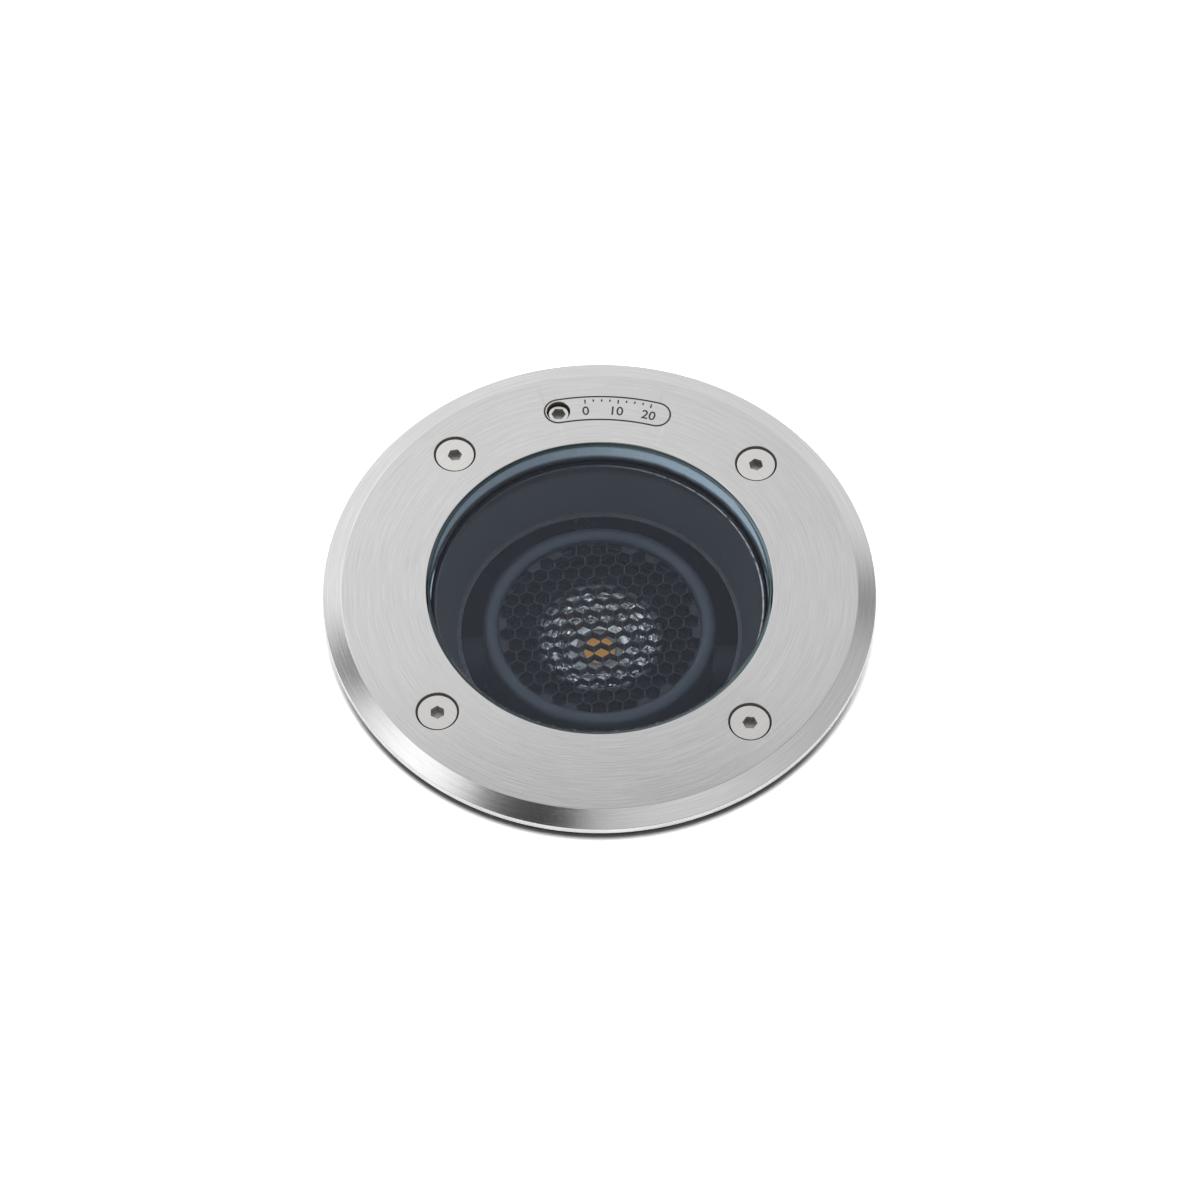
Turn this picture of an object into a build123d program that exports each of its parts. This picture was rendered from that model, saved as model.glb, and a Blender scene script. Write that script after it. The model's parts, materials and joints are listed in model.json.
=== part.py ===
from build123d import *
from math import cos, radians, sin, sqrt, tan
import os

# In-ground well light with a glass front, a tilting lamp head and an adjuster that is
# turned from above. Millimetres. The origin is on the axis, on the ground: the
# underside of the trim ring. +Z is up and the adjuster is on the +Y side.

# ---- trim ring
ring_radius = 85.0
ring_thickness = 4.5
rim_height = 2.15
chamfer_width = 5.7
window_land = 25.25
ring_gasket_thickness = 2.0
ring_gasket_inset = 0.7
line_width = 0.42
line_depth = 0.25

# ---- cover screws, M6 countersunk with a 4 mm socket
cover_screw_count = 4
cover_screw_inset = 11.9
cover_screw_angle = 45.0
cover_screw_radius = 3.0
cover_head_radius = 6.0
cover_head_land = 0.3
cover_head_sink = 0.9
cover_screw_length = 16.0
cover_hole_radius = 6.6
cover_clear_radius = 3.3
countersink_angle = 90.0
socket_flats = 4.0
socket_depth = 2.3

# ---- adjuster field: a curved frame with the adjuster in its left end
field_inset = 12.1
field_half_width = 4.4
field_half_angle = 13.4

# ---- window glass and its seal
glass_thickness = 12.0
glass_sink = 0.3
glass_gap = 0.5
glass_arris = 0.8
seal_thickness = 1.2
seal_width = 2.2

# ---- anti-glare cup
cup_sheet = 1.0
cup_rim_inset = 2.95
cup_taper = 5.8
cup_lip = 1.3
cup_depth = 17.5
cup_flange_gap = 0.25

# ---- housing
band_radius = 78.5
band_height = 23.0
band_slope = 2.0
body_inset = 2.2
wall = 3.0
cone_top = -86.0
cone_height = 12.0
cone_rise = 1.5
throat_radius = 50.0
foot_flange_width = 9.5
foot_flange_height = 7.0
housing_bottom = -144.0
ledge_thickness = 2.5
ledge_inset = 1.45
rib_count = 24
rib_width = 3.0
rib_root = 1.0
rib_end_gap = 1.0
boss_radius = 7.0
boss_length = 7.5
thread_gap = 0.05
blind_depth = 8.0
tip_gap = 1.0
clear_gap = 0.2
edge_chamfer = 1.0
pad_radius = 15.0
pad_reach = 3.5
pad_height = -118.0

# ---- lamp head
lamp_top = -22.0
bezel_gap = 6.9
bezel_width = 4.8
bezel_slope = 1.6
bezel_lip = 0.8
bezel_height = 9.3
bezel_wall = 2.0
louver_thickness = 3.0
cell_pitch = 4.8
cell_wall = 0.35
cell_turn = 7.0
cell_rows = 17
hexagon_turn = 30.0
louver_gap = 0.3
lamp_inset = 0.5
spigot_gap = 0.1
cavity_depth = 2.6
reflector_rim = 18.6
reflector_throat = 7.4
reflector_depth = 6.9
reflector_sheet = 0.8
reflector_flange = 2.6
reflector_gap = 0.2
bowl_middle_radius = 14.322
bowl_middle_height = 2.898
holder_radius = 17.5
holder_height = 2.5
holder_cover = 0.8
board_size = 16.0
board_thickness = 1.2
pad_thickness = 0.3
phosphor_radius = 5.5
phosphor_thickness = 0.5
core_height = 16.6
fin_count = 9
fin_thickness = 1.8
fin_height = 24.0
fin_inset = 2.8

# ---- pivots of the lamp head, on the X axis
pivot_height = -47.3
tilt_range = 20.0
pivot_radius = 3.5
trunnion_radius = 8.0
trunnion_inset = 20.7
pin_length = 24.5
pin_depth = 16.0
running_gap = 0.05
side_gap = 0.4
bracket_sheet = 3.0
bracket_width = 22.0
bracket_foot = 17.0
bracket_screw_step = 7.0
bracket_screw_edge = 4.5
bush_wall = 2.0
bush_flange = 1.0
bush_flange_radius = 7.5
clip_thickness = 0.8
clip_radius = 5.5
clip_groove = 0.6
clip_side_gap = 0.8

# ---- adjusting spindle, nut and tilting arm
spindle_radius = 3.05
spindle_sink = 1.5
spindle_thread_radius = 3.0
spindle_hole_radius = 3.7
spindle_bush_radius = 6.0
spindle_collar_radius = 5.0
spindle_collar_height = 2.5
spindle_end_gap = 0.3
spindle_foot_top = -70.0
journal_radius = 2.0
o_ring_section = 2.0
o_ring_gap = 0.1
nut_width = 11.0
nut_length = 10.0
nut_height = 10.0
nut_fillet = 1.0
nut_gap = 0.1
guide_gap = 0.3
guide_sheet = 2.5
guide_foot_width = 6.0
guide_foot_reach = 20.5
guide_screw_near = 3.6
guide_screw_far = 10.0
guide_screw_edge = 3.1
spindle_clip_radius = 3.5
spindle_tail = 2.4
drive_pin_radius = 2.0
drive_pin_depth = 2.0
drive_head_radius = 3.2
drive_head_height = 1.0
slot_gap = 0.3
arm_gap = 0.6
arm_sheet = 3.0
arm_width = 11.0
arm_start = 37.0
lug_sheet = 5.0
lug_root = 5.8
lug_end = 49.5
arm_screw_near = 40.5
arm_screw_far = 46.0

# ---- small screws: shank radius, head radius, head height, length under the head
m4_shank, m4_head, m4_head_height = 2.0, 3.5, 4.0
m3_shank, m3_head, m3_head_height = 1.5, 2.75, 3.0
m4_length = 9.0
m3_length = 8.0
key_share = 0.55
slot_share = 0.25
slot_depth_share = 1 / 3

# ---- base cover, driver and cable entry
cover_thickness = 6.0
cover_spigot_height = 3.0
cover_spigot_gap = 0.3
cover_floor = 1.5
cover_bolt_count = 6
cover_bolt_angle = 30.0
cover_bolt_inset = 5.0
cover_bolt_recess = 4.4
seal_groove_inset = 10.0
seal_groove_width = 2.4
seal_groove_depth = 1.6
seal_clearance = 0.1
driver_length, driver_width, driver_height = 56.0, 36.0, 24.0
driver_ear = 9.0
driver_ear_width = 14.0
driver_ear_height = 3.0
driver_corner = 3.0
driver_edge = 1.0
terminal_length, terminal_width, terminal_height = 24.0, 11.0, 13.0
terminal_place = 26.0
terminal_count = 3
terminal_screw_depth = 13 / 3
terminal_pitch = 7.0
gland_thread_radius = 10.0
gland_flats = 24.0
gland_hex_length = 6.0
gland_stem_radius = 8.6
gland_stem_length = 9.0
gland_thread_length = 11.0
gland_bore_radius = 6.0
gland_nut_length = 16.0
gland_nut_wall = 0.3
gland_nut_mouth = 5.6
gland_nut_taper = 3.0
gland_nut_edge = 1.0
gland_seal_end = 1.5
gland_seal_radius = 4.0
gland_washer_thickness = 1.0
vent_thread_radius = 6.0
vent_flats = 17.0
vent_hex_length = 4.0
vent_cap_radius = 8.0
vent_cap_length = 5.0
vent_cap_edge = 1.0
vent_thread_length = 5.5
vent_pad_width = 3.0
earth_place = -30.0
earth_head_height = 3.0

# ---- heights and places that follow from the sizes above
ring_top = ring_thickness
window_radius = band_radius - window_land
ring_gasket_radius = ring_radius - ring_gasket_inset
cover_screw_circle = band_radius - cover_screw_inset
field_circle = band_radius - field_inset
body_radius = band_radius - body_inset
ledge_radius = window_radius - ledge_inset
cup_rim_radius = window_radius - cup_rim_inset
cup_throat_radius = cup_rim_radius - cup_taper
foot_flange_radius = throat_radius + foot_flange_width
cover_bolt_circle = foot_flange_radius - cover_bolt_inset
seal_groove_radius = foot_flange_radius - seal_groove_inset
bezel_radius = cup_throat_radius - cup_lip - bezel_gap
bezel_opening = bezel_radius - bezel_width
lamp_radius = bezel_radius - lamp_inset
fin_radius = lamp_radius - fin_inset
lug_start = lamp_radius - lug_root
housing_top = -ring_gasket_thickness
glass_top = ring_top - glass_sink
glass_bottom = glass_top - glass_thickness
glass_radius = window_radius - glass_gap
seal_bottom = glass_bottom - seal_thickness
cup_bottom = seal_bottom - cup_depth
ledge_top = seal_bottom - cup_sheet
plate_bottom = ledge_top - ledge_thickness
inner_radius = body_radius - wall
trunnion_reach = inner_radius - trunnion_inset
seal_outer_radius = window_radius - cup_flange_gap
seal_inner_radius = seal_outer_radius - seal_width
throat_inner = throat_radius - wall
cone_bottom = cone_top - cone_height
adjuster_angle = 90 + field_half_angle
adjuster_x = field_circle * cos(radians(adjuster_angle))
adjuster_y = field_circle * sin(radians(adjuster_angle))
adjuster = (adjuster_x, adjuster_y)
louver_top = lamp_top - bezel_slope - bezel_lip
louver_bottom = louver_top - louver_thickness
shelf_height = louver_bottom - cavity_depth
reflector_bottom = shelf_height - reflector_depth
holder_bottom = reflector_bottom - holder_height
bezel_bottom = lamp_top - bezel_height
spigot_radius = bezel_radius - bezel_wall - spigot_gap
core_bottom = holder_bottom - core_height
half_tilt = radians(tilt_range / 2)
arm_slot_near = adjuster_y
arm_slot_far = adjuster_y / cos(half_tilt)
nut_travel = 2 * adjuster_y * tan(half_tilt)
nut_rest = pivot_height - nut_travel / 2
arm_face = adjuster_x + nut_width / 2 + arm_gap
foot_bottom = spindle_foot_top - bracket_sheet
guide_front = adjuster_y - nut_length / 2 - guide_gap
guide_foot_inner = guide_front - guide_foot_width
cover_bottom = housing_bottom - cover_thickness
spigot_top = housing_bottom + cover_spigot_height

os.makedirs("parts", exist_ok=True)


def turn(points, centre=(0, 0)):
    # a closed outline of (radius, height) points turned about a vertical axis
    section_plane = Plane((centre[0], centre[1], 0), x_dir=(1, 0, 0), z_dir=(0, -1, 0))
    with BuildSketch(section_plane) as section:
        with BuildLine():
            Polyline(*points, close=True)
        make_face()
    revolve(section.sketch, axis=Axis((centre[0], centre[1], 0), (0, 0, 1)))


def tube(outer, inner, bottom, top, centre=(0, 0)):
    turn([(inner, bottom), (outer, bottom), (outer, top), (inner, top)], centre)


def rod(radius, bottom, top, centre=(0, 0)):
    tube(radius, 0, bottom, top, centre)


def cap_screw(place, seat, shank, head, head_height, length):
    # a socket head screw whose head hangs below its seat and whose shank points up
    underside = seat - head_height
    tip = seat + length
    turn([(0, tip), (shank, tip), (shank, seat), (head, seat), (head, underside), (0, underside)], place)
    with BuildSketch(Plane((place[0], place[1], underside))) as cap_key:
        RegularPolygon(head * key_share, 6)
    extrude(cap_key.sketch, amount=head_height / 2, mode=Mode.SUBTRACT)


def pan_screw(place, seat, shank, head, head_height, length):
    # a cross slotted screw whose head stands on its seat and whose shank points down
    tip = seat - length
    crown = seat + head_height
    turn([(0, tip), (shank, tip), (shank, seat), (head, seat), (head, crown), (0, crown)], place)
    with BuildSketch(Plane((place[0], place[1], crown))) as cross:
        Rectangle(2 * head * key_share, head_height * slot_share)
        Rectangle(head_height * slot_share, 2 * head * key_share)
    extrude(cross.sketch, amount=-head_height * slot_depth_share, mode=Mode.SUBTRACT)


def bore_up(places, depth_from, depth_to, radius):
    # round holes along Z between two heights
    for place in places:
        with BuildSketch(Plane((place[0], place[1], depth_from))) as hole:
            Circle(radius)
        extrude(hole.sketch, amount=depth_to - depth_from, mode=Mode.SUBTRACT)


def circle_of(count, radius, first=0.0):
    step = 360 / count
    return [
        (radius * cos(radians(first + step * i)), radius * sin(radians(first + step * i)))
        for i in range(count)
    ]


def keep(part, label):
    part.part.label = label
    export_step(part.part, f"parts/{label}.step")


cover_screw_places = circle_of(cover_screw_count, cover_screw_circle, cover_screw_angle)
bracket_face = trunnion_reach + side_gap + bush_flange
bracket_screw_x = bracket_face + bracket_sheet + bracket_screw_step
bracket_screw_y = bracket_width / 2 - bracket_screw_edge
bracket_screw_places = [
    (side * bracket_screw_x, end * bracket_screw_y) for side in (-1, 1) for end in (-1, 1)
]
guide_left = adjuster_x - nut_width / 2
guide_right = adjuster_x + nut_width / 2 - guide_gap
guide_screw_places = [
    (guide_left - guide_screw_near, guide_foot_inner + guide_screw_edge),
    (guide_left - guide_screw_far, guide_foot_inner + guide_screw_edge),
]
base_screw_places = circle_of(cover_bolt_count, cover_bolt_circle, cover_bolt_angle)

# ==== trim ring, seals and glass ====

with BuildPart() as trim_ring:
    turn(
        [
            (window_radius, 0),
            (ring_radius, 0),
            (ring_radius, rim_height),
            (ring_radius - chamfer_width, ring_top),
            (window_radius, ring_top),
        ]
    )
    head_seat = ring_top - cover_head_sink - cover_head_land
    countersink_top = head_seat + cover_hole_radius - cover_head_radius
    for spot in cover_screw_places:
        with Locations((spot[0], spot[1], countersink_top)):
            CounterSinkHole(cover_clear_radius, cover_hole_radius, ring_thickness, countersink_angle)
    bore_up(cover_screw_places, countersink_top, ring_top, cover_hole_radius)
    bore_up([adjuster], 0, ring_top, spindle_hole_radius)
    with BuildSketch(Plane.XY.offset(ring_top)) as field_frame:
        centre_line = CenterArc((0, 0), field_circle, 90 - field_half_angle, 2 * field_half_angle)
        SlotArc(centre_line, 2 * field_half_width + line_width)
        SlotArc(centre_line, 2 * field_half_width - line_width, mode=Mode.SUBTRACT)
    extrude(field_frame.sketch, amount=-line_depth, mode=Mode.SUBTRACT)
keep(trim_ring, "trim_ring")

with BuildPart() as ring_gasket:
    tube(ring_gasket_radius, window_radius + glass_gap, housing_top, 0)
    bore_up(cover_screw_places, housing_top, 0, cover_clear_radius)
    bore_up([adjuster], housing_top, 0, spindle_hole_radius)
keep(ring_gasket, "ring_gasket")

with BuildPart() as glass_lens:
    rod(glass_radius, glass_bottom, glass_top)
    chamfer(glass_lens.edges().filter_by(GeomType.CIRCLE).group_by(Axis.Z)[-1], glass_arris)
keep(glass_lens, "glass_lens")

with BuildPart() as glass_seal:
    tube(seal_outer_radius, seal_inner_radius, seal_bottom, glass_bottom)
keep(glass_seal, "glass_seal")

# ==== anti-glare cup, hung by its flange between the seal and the housing ====

with BuildPart() as baffle_cup:
    turn(
        [
            (cup_rim_radius, seal_bottom),
            (seal_outer_radius, seal_bottom),
            (seal_outer_radius, ledge_top),
            (cup_rim_radius + cup_sheet, ledge_top),
            (cup_throat_radius + cup_sheet, cup_bottom - cup_sheet),
            (cup_throat_radius - cup_lip, cup_bottom - cup_sheet),
            (cup_throat_radius - cup_lip, cup_bottom),
            (cup_throat_radius, cup_bottom),
        ]
    )
keep(baffle_cup, "baffle_cup")

# ==== housing: one casting with the glass seat, the lamp space and the driver space ====

band_bottom = housing_top - band_height
rib_bottom = cone_top + rib_end_gap
foot_flange_top = housing_bottom + foot_flange_height
with BuildPart() as housing:
    turn(
        [
            (window_radius, housing_top),
            (band_radius, housing_top),
            (band_radius, band_bottom),
            (body_radius, band_bottom - band_slope),
            (body_radius, cone_top),
            (throat_radius, cone_bottom),
            (throat_radius, foot_flange_top),
            (foot_flange_radius, foot_flange_top),
            (foot_flange_radius, housing_bottom),
            (throat_inner, housing_bottom),
            (throat_inner, cone_bottom + cone_rise),
            (inner_radius, cone_top + cone_rise),
            (inner_radius, plate_bottom),
            (ledge_radius, plate_bottom),
            (ledge_radius, ledge_top),
            (window_radius, ledge_top),
        ]
    )
    with BuildSketch(Plane.XY.offset(rib_bottom)):
        with PolarLocations((band_radius + body_radius - rib_root) / 2, rib_count):
            Rectangle(band_radius - body_radius + rib_root, rib_width)
    extrude(amount=band_bottom - rib_bottom)
    with BuildSketch(Plane.XY.offset(plate_bottom)):
        for spot in cover_screw_places:
            with Locations(spot):
                Circle(boss_radius)
    extrude(amount=-boss_length)
    with BuildSketch(Plane((throat_inner, 0, pad_height), x_dir=(0, 1, 0), z_dir=(1, 0, 0))):
        Circle(pad_radius)
    extrude(amount=throat_radius + pad_reach - throat_inner)
    with BuildSketch(Plane((-throat_inner, 0, pad_height), x_dir=(0, 1, 0), z_dir=(-1, 0, 0))):
        Circle(vent_cap_radius + vent_pad_width)
    extrude(amount=throat_radius + pad_reach - throat_inner)
    cover_hole_bottom = ring_top - cover_head_sink - cover_screw_length - tip_gap
    bore_up(cover_screw_places, cover_hole_bottom, housing_top, cover_screw_radius + thread_gap)
    bore_up([adjuster], plate_bottom, housing_top, spindle_bush_radius)
    bore_up(bracket_screw_places, plate_bottom, plate_bottom + blind_depth, m4_shank + thread_gap)
    bore_up(guide_screw_places, plate_bottom, plate_bottom + blind_depth, m3_shank + thread_gap)
    bore_up(base_screw_places, housing_bottom, foot_flange_top - tip_gap, m4_shank + thread_gap)
    with BuildSketch(Plane((0, 0, pad_height), x_dir=(0, 1, 0), z_dir=(1, 0, 0))):
        Circle(gland_thread_radius)
    extrude(amount=throat_radius + pad_reach, mode=Mode.SUBTRACT)
    with BuildSketch(Plane((0, 0, pad_height), x_dir=(0, 1, 0), z_dir=(-1, 0, 0))):
        Circle(vent_thread_radius)
    extrude(amount=throat_radius + pad_reach, mode=Mode.SUBTRACT)
keep(housing, "housing")

with BuildPart() as cover_screws:
    head_top = ring_top - cover_head_sink
    head_cone = head_top - cover_head_land
    neck = head_cone - (cover_head_radius - cover_screw_radius)
    for spot in cover_screw_places:
        turn(
            [
                (0, head_top - cover_screw_length),
                (cover_screw_radius, head_top - cover_screw_length),
                (cover_screw_radius, neck),
                (cover_head_radius, head_cone),
                (cover_head_radius, head_top),
                (0, head_top),
            ],
            spot,
        )
        with BuildSketch(Plane((spot[0], spot[1], head_top))) as cover_key:
            RegularPolygon(socket_flats / 2, 6, major_radius=False, rotation=hexagon_turn)
        extrude(cover_key.sketch, amount=-socket_depth, mode=Mode.SUBTRACT)
keep(cover_screws, "cover_screws")

# ==== lamp head: everything that tilts about the X axis ====

with BuildPart() as lamp_bezel:
    turn(
        [
            (bezel_radius, lamp_top),
            (bezel_opening, lamp_top - bezel_slope),
            (bezel_opening, louver_top),
            (bezel_radius - bezel_wall, louver_top),
            (bezel_radius - bezel_wall, bezel_bottom),
            (bezel_radius, bezel_bottom),
        ]
    )
keep(lamp_bezel, "lamp_bezel")

louver_radius = spigot_radius - louver_gap
row_pitch = cell_pitch * cos(radians(hexagon_turn))
with BuildPart() as honeycomb_louver:
    rod(louver_radius, louver_bottom, louver_top)
    half_rows = (cell_rows + 1) // 2
    with BuildSketch(Plane.XY.offset(louver_bottom)) as cells:
        for row in range(-half_rows, half_rows):
            shift = cell_pitch / 2 if row % 2 else 0.0
            for step in range(-half_rows, half_rows):
                cell_x = step * cell_pitch + shift
                cell_y = row * row_pitch
                if sqrt(cell_x**2 + cell_y**2) < louver_radius - cell_pitch / 2 - cell_wall:
                    turned_x = cell_x * cos(radians(cell_turn)) - cell_y * sin(radians(cell_turn))
                    turned_y = cell_x * sin(radians(cell_turn)) + cell_y * cos(radians(cell_turn))
                    with Locations(Location((turned_x, turned_y, 0), cell_turn + hexagon_turn)):
                        RegularPolygon((cell_pitch - cell_wall) / 2, 6, major_radius=False)
    extrude(cells.sketch, amount=louver_thickness, mode=Mode.SUBTRACT)
keep(honeycomb_louver, "honeycomb_louver")

reflector_bore = reflector_rim + reflector_sheet + reflector_gap * 2
reflector_seat = reflector_rim + reflector_flange + reflector_gap
cavity_radius = (spigot_radius + reflector_seat) / 2
with BuildPart() as lamp_housing:
    turn(
        [
            (0, holder_bottom),
            (reflector_bore, holder_bottom),
            (reflector_bore, shelf_height - reflector_sheet),
            (reflector_seat, shelf_height - reflector_sheet),
            (reflector_seat, shelf_height),
            (cavity_radius, shelf_height),
            (cavity_radius, louver_bottom),
            (spigot_radius, louver_bottom),
            (spigot_radius, bezel_bottom),
            (lamp_radius, bezel_bottom),
            (lamp_radius, core_bottom),
            (0, core_bottom),
        ]
    )
    for side in (-1, 1):
        boss_plane = Plane((side * lug_start, 0, pivot_height), x_dir=(0, 1, 0), z_dir=(side, 0, 0))
        with BuildSketch(boss_plane):
            Circle(trunnion_radius)
        extrude(amount=trunnion_reach - lug_start)
        face_centre = (side * trunnion_reach, 0, pivot_height)
        with BuildSketch(Plane(face_centre, x_dir=(0, 1, 0), z_dir=(-side, 0, 0))):
            Circle(pivot_radius)
        extrude(amount=pin_depth, mode=Mode.SUBTRACT)
    with BuildSketch(Plane.XY.offset(core_bottom)):
        Circle(fin_radius)
        fin_pitch = 2 * fin_radius / fin_count
        gap_places = [fin_pitch * (i - fin_count / 2 + 1) for i in range(fin_count - 1)]
        with Locations(*[(place, 0) for place in gap_places]):
            Rectangle(fin_pitch - fin_thickness, 3 * fin_radius, mode=Mode.SUBTRACT)
    extrude(amount=-fin_height)
    arm_way = (0, cos(half_tilt), -sin(half_tilt))
    arm_plane = Plane((arm_face + arm_sheet, 0, pivot_height), x_dir=arm_way, z_dir=(1, 0, 0))
    with BuildSketch(arm_plane):
        with Locations(((lug_start + lug_end) / 2, 0)):
            Rectangle(lug_end - lug_start, arm_width)
    extrude(amount=lug_sheet)
    with BuildSketch(arm_plane):
        with Locations((arm_screw_near, 0), (arm_screw_far, 0)):
            Circle(m3_shank + thread_gap)
    extrude(amount=lug_sheet, mode=Mode.SUBTRACT)
keep(lamp_housing, "lamp_housing")

with BuildPart() as reflector:
    bowl_lower = (reflector_throat, reflector_bottom)
    bowl_upper = (reflector_rim, shelf_height)
    bowl_middle = (bowl_middle_radius, reflector_bottom + bowl_middle_height)
    with BuildSketch(Plane.XZ) as bowl:
        with BuildLine():
            ThreePointArc(bowl_lower, bowl_middle, bowl_upper)
            Polyline(
                bowl_upper,
                (reflector_rim + reflector_flange, shelf_height),
                (reflector_rim + reflector_flange, shelf_height - reflector_sheet),
                (reflector_rim + reflector_sheet, shelf_height - reflector_sheet),
            )
            ThreePointArc(
                (reflector_rim + reflector_sheet, shelf_height - reflector_sheet),
                (bowl_middle[0] + reflector_sheet, bowl_middle[1] - reflector_sheet / 2),
                (reflector_throat + reflector_sheet, reflector_bottom),
            )
            Line((reflector_throat + reflector_sheet, reflector_bottom), bowl_lower)
        make_face()
    revolve(bowl.sketch, axis=Axis.Z)
keep(reflector, "reflector")

pocket_size = board_size + 2 * reflector_gap
holder_top = reflector_bottom
with BuildPart() as led_holder:
    rod(holder_radius, holder_bottom, holder_top)
    with BuildSketch(Plane.XY.offset(holder_bottom)):
        Rectangle(pocket_size, pocket_size)
    extrude(amount=holder_height - holder_cover, mode=Mode.SUBTRACT)
    bore_up([(0, 0)], holder_bottom, holder_top, reflector_throat)
keep(led_holder, "led_holder")

with BuildPart() as thermal_pad:
    with BuildSketch(Plane.XY.offset(holder_bottom)):
        Rectangle(board_size, board_size)
    extrude(amount=pad_thickness)
keep(thermal_pad, "thermal_pad")

with BuildPart() as led_board:
    with BuildSketch(Plane.XY.offset(holder_bottom + pad_thickness)):
        Rectangle(board_size, board_size)
    extrude(amount=board_thickness)
keep(led_board, "led_board")

with BuildPart() as led_phosphor:
    phosphor_bottom = holder_bottom + pad_thickness + board_thickness
    rod(phosphor_radius, phosphor_bottom, phosphor_bottom + phosphor_thickness)
    fillet(led_phosphor.edges().group_by(Axis.Z)[-1], phosphor_thickness / 2)
keep(led_phosphor, "led_phosphor")

with BuildPart() as pivot_pins:
    clip_place = bracket_face + bracket_sheet + clip_side_gap
    for side in (-1, 1):
        pin_start = side * (trunnion_reach - pin_depth)
        with BuildSketch(Plane((pin_start, 0, pivot_height), x_dir=(0, 1, 0), z_dir=(side, 0, 0))):
            Circle(pivot_radius - thread_gap)
        extrude(amount=pin_length)
        with BuildSketch(Plane((side * clip_place, 0, pivot_height), x_dir=(0, 1, 0), z_dir=(side, 0, 0))):
            Circle(pivot_radius)
            Circle(pivot_radius - clip_groove, mode=Mode.SUBTRACT)
        extrude(amount=clip_thickness, mode=Mode.SUBTRACT)
keep(pivot_pins, "pivot_pins")

with BuildPart() as pivot_clips:
    for side in (-1, 1):
        with BuildSketch(Plane((side * clip_place, 0, pivot_height), x_dir=(0, 1, 0), z_dir=(side, 0, 0))):
            Circle(clip_radius)
            Circle(pivot_radius - clip_groove, mode=Mode.SUBTRACT)
        extrude(amount=clip_thickness)
keep(pivot_clips, "pivot_clips")

with BuildPart() as tilt_arm:
    arm_side = Plane((arm_face, 0, pivot_height), x_dir=arm_way, z_dir=(1, 0, 0))
    slot_length = arm_slot_far - arm_slot_near + 2 * slot_gap
    with BuildSketch(arm_side):
        with Locations(((arm_start + arm_slot_far) / 2, 0)):
            Rectangle(arm_slot_far - arm_start, arm_width)
        with Locations((arm_slot_far, 0)):
            Circle(arm_width / 2)
        with Locations(((arm_slot_near + arm_slot_far) / 2, 0)):
            SlotCenterToCenter(slot_length, 2 * (drive_pin_radius + slot_gap), mode=Mode.SUBTRACT)
        with Locations((arm_screw_near, 0), (arm_screw_far, 0)):
            Circle(m3_shank + thread_gap, mode=Mode.SUBTRACT)
    extrude(amount=arm_sheet)
keep(tilt_arm, "tilt_arm")

with BuildPart() as arm_screws:
    with BuildSketch(arm_side):
        with Locations((arm_screw_near, 0), (arm_screw_far, 0)):
            Circle(m3_shank)
    extrude(amount=arm_sheet + lug_sheet)
    with BuildSketch(arm_side):
        with Locations((arm_screw_near, 0), (arm_screw_far, 0)):
            Circle(m3_head - thread_gap)
    extrude(amount=-m3_head_height)
    with BuildSketch(arm_side.offset(-m3_head_height)):
        with Locations((arm_screw_near, 0), (arm_screw_far, 0)):
            RegularPolygon(m3_head * key_share, 6)
    extrude(amount=m3_head_height / 2, mode=Mode.SUBTRACT)
keep(arm_screws, "arm_screws")

# ==== brackets that carry the pivots ====

with BuildPart() as pivot_brackets:
    for side in (-1, 1):
        cheek = Plane((side * bracket_face, 0, pivot_height), x_dir=(0, 1, 0), z_dir=(side, 0, 0))
        cheek_height = plate_bottom - pivot_height
        with BuildSketch(cheek):
            Circle(bracket_width / 2)
            with Locations((0, side * cheek_height / 2)):
                Rectangle(bracket_width, cheek_height)
        extrude(amount=bracket_sheet)
        with BuildSketch(cheek):
            Circle(pivot_radius + bush_wall)
        extrude(amount=bracket_sheet, mode=Mode.SUBTRACT)
        foot_middle = bracket_face + bracket_foot / 2
        with BuildSketch(Plane((side * foot_middle, 0, plate_bottom))):
            Rectangle(bracket_foot, bracket_width)
        extrude(amount=-bracket_sheet)
    bore_up(bracket_screw_places, plate_bottom - bracket_sheet, plate_bottom, m4_shank + clear_gap)
keep(pivot_brackets, "pivot_brackets")

with BuildPart() as pivot_bushes:
    for side in (-1, 1):
        inner_face = Plane(
            (side * (bracket_face - bush_flange), 0, pivot_height), x_dir=(0, 1, 0), z_dir=(side, 0, 0)
        )
        with BuildSketch(inner_face):
            Circle(bush_flange_radius)
        extrude(amount=bush_flange)
        with BuildSketch(inner_face):
            Circle(pivot_radius + bush_wall)
        extrude(amount=bush_flange + bracket_sheet + side_gap)
        with BuildSketch(inner_face):
            Circle(pivot_radius - thread_gap + running_gap)
        extrude(amount=bush_flange + bracket_sheet + side_gap, mode=Mode.SUBTRACT)
keep(pivot_bushes, "pivot_bushes")

with BuildPart() as bracket_screws:
    for spot in bracket_screw_places:
        cap_screw(spot, plate_bottom - bracket_sheet, m4_shank, m4_head, m4_head_height, m4_length)
keep(bracket_screws, "bracket_screws")

# ==== adjusting spindle with its bush, nut and guide ====

bush_bore = spindle_radius + running_gap
o_ring_middle = bush_bore + o_ring_gap / 2 + o_ring_section / 2
o_ring_seat = o_ring_middle + o_ring_section / 2 + o_ring_gap / 2
with BuildPart() as spindle_bush:
    turn(
        [
            (bush_bore, plate_bottom),
            (spindle_bush_radius, plate_bottom),
            (spindle_bush_radius, housing_top),
            (o_ring_seat, housing_top),
            (o_ring_seat, housing_top - o_ring_section - o_ring_gap),
            (bush_bore, housing_top - o_ring_section - o_ring_gap),
        ],
        adjuster,
    )
keep(spindle_bush, "spindle_bush")

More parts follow.
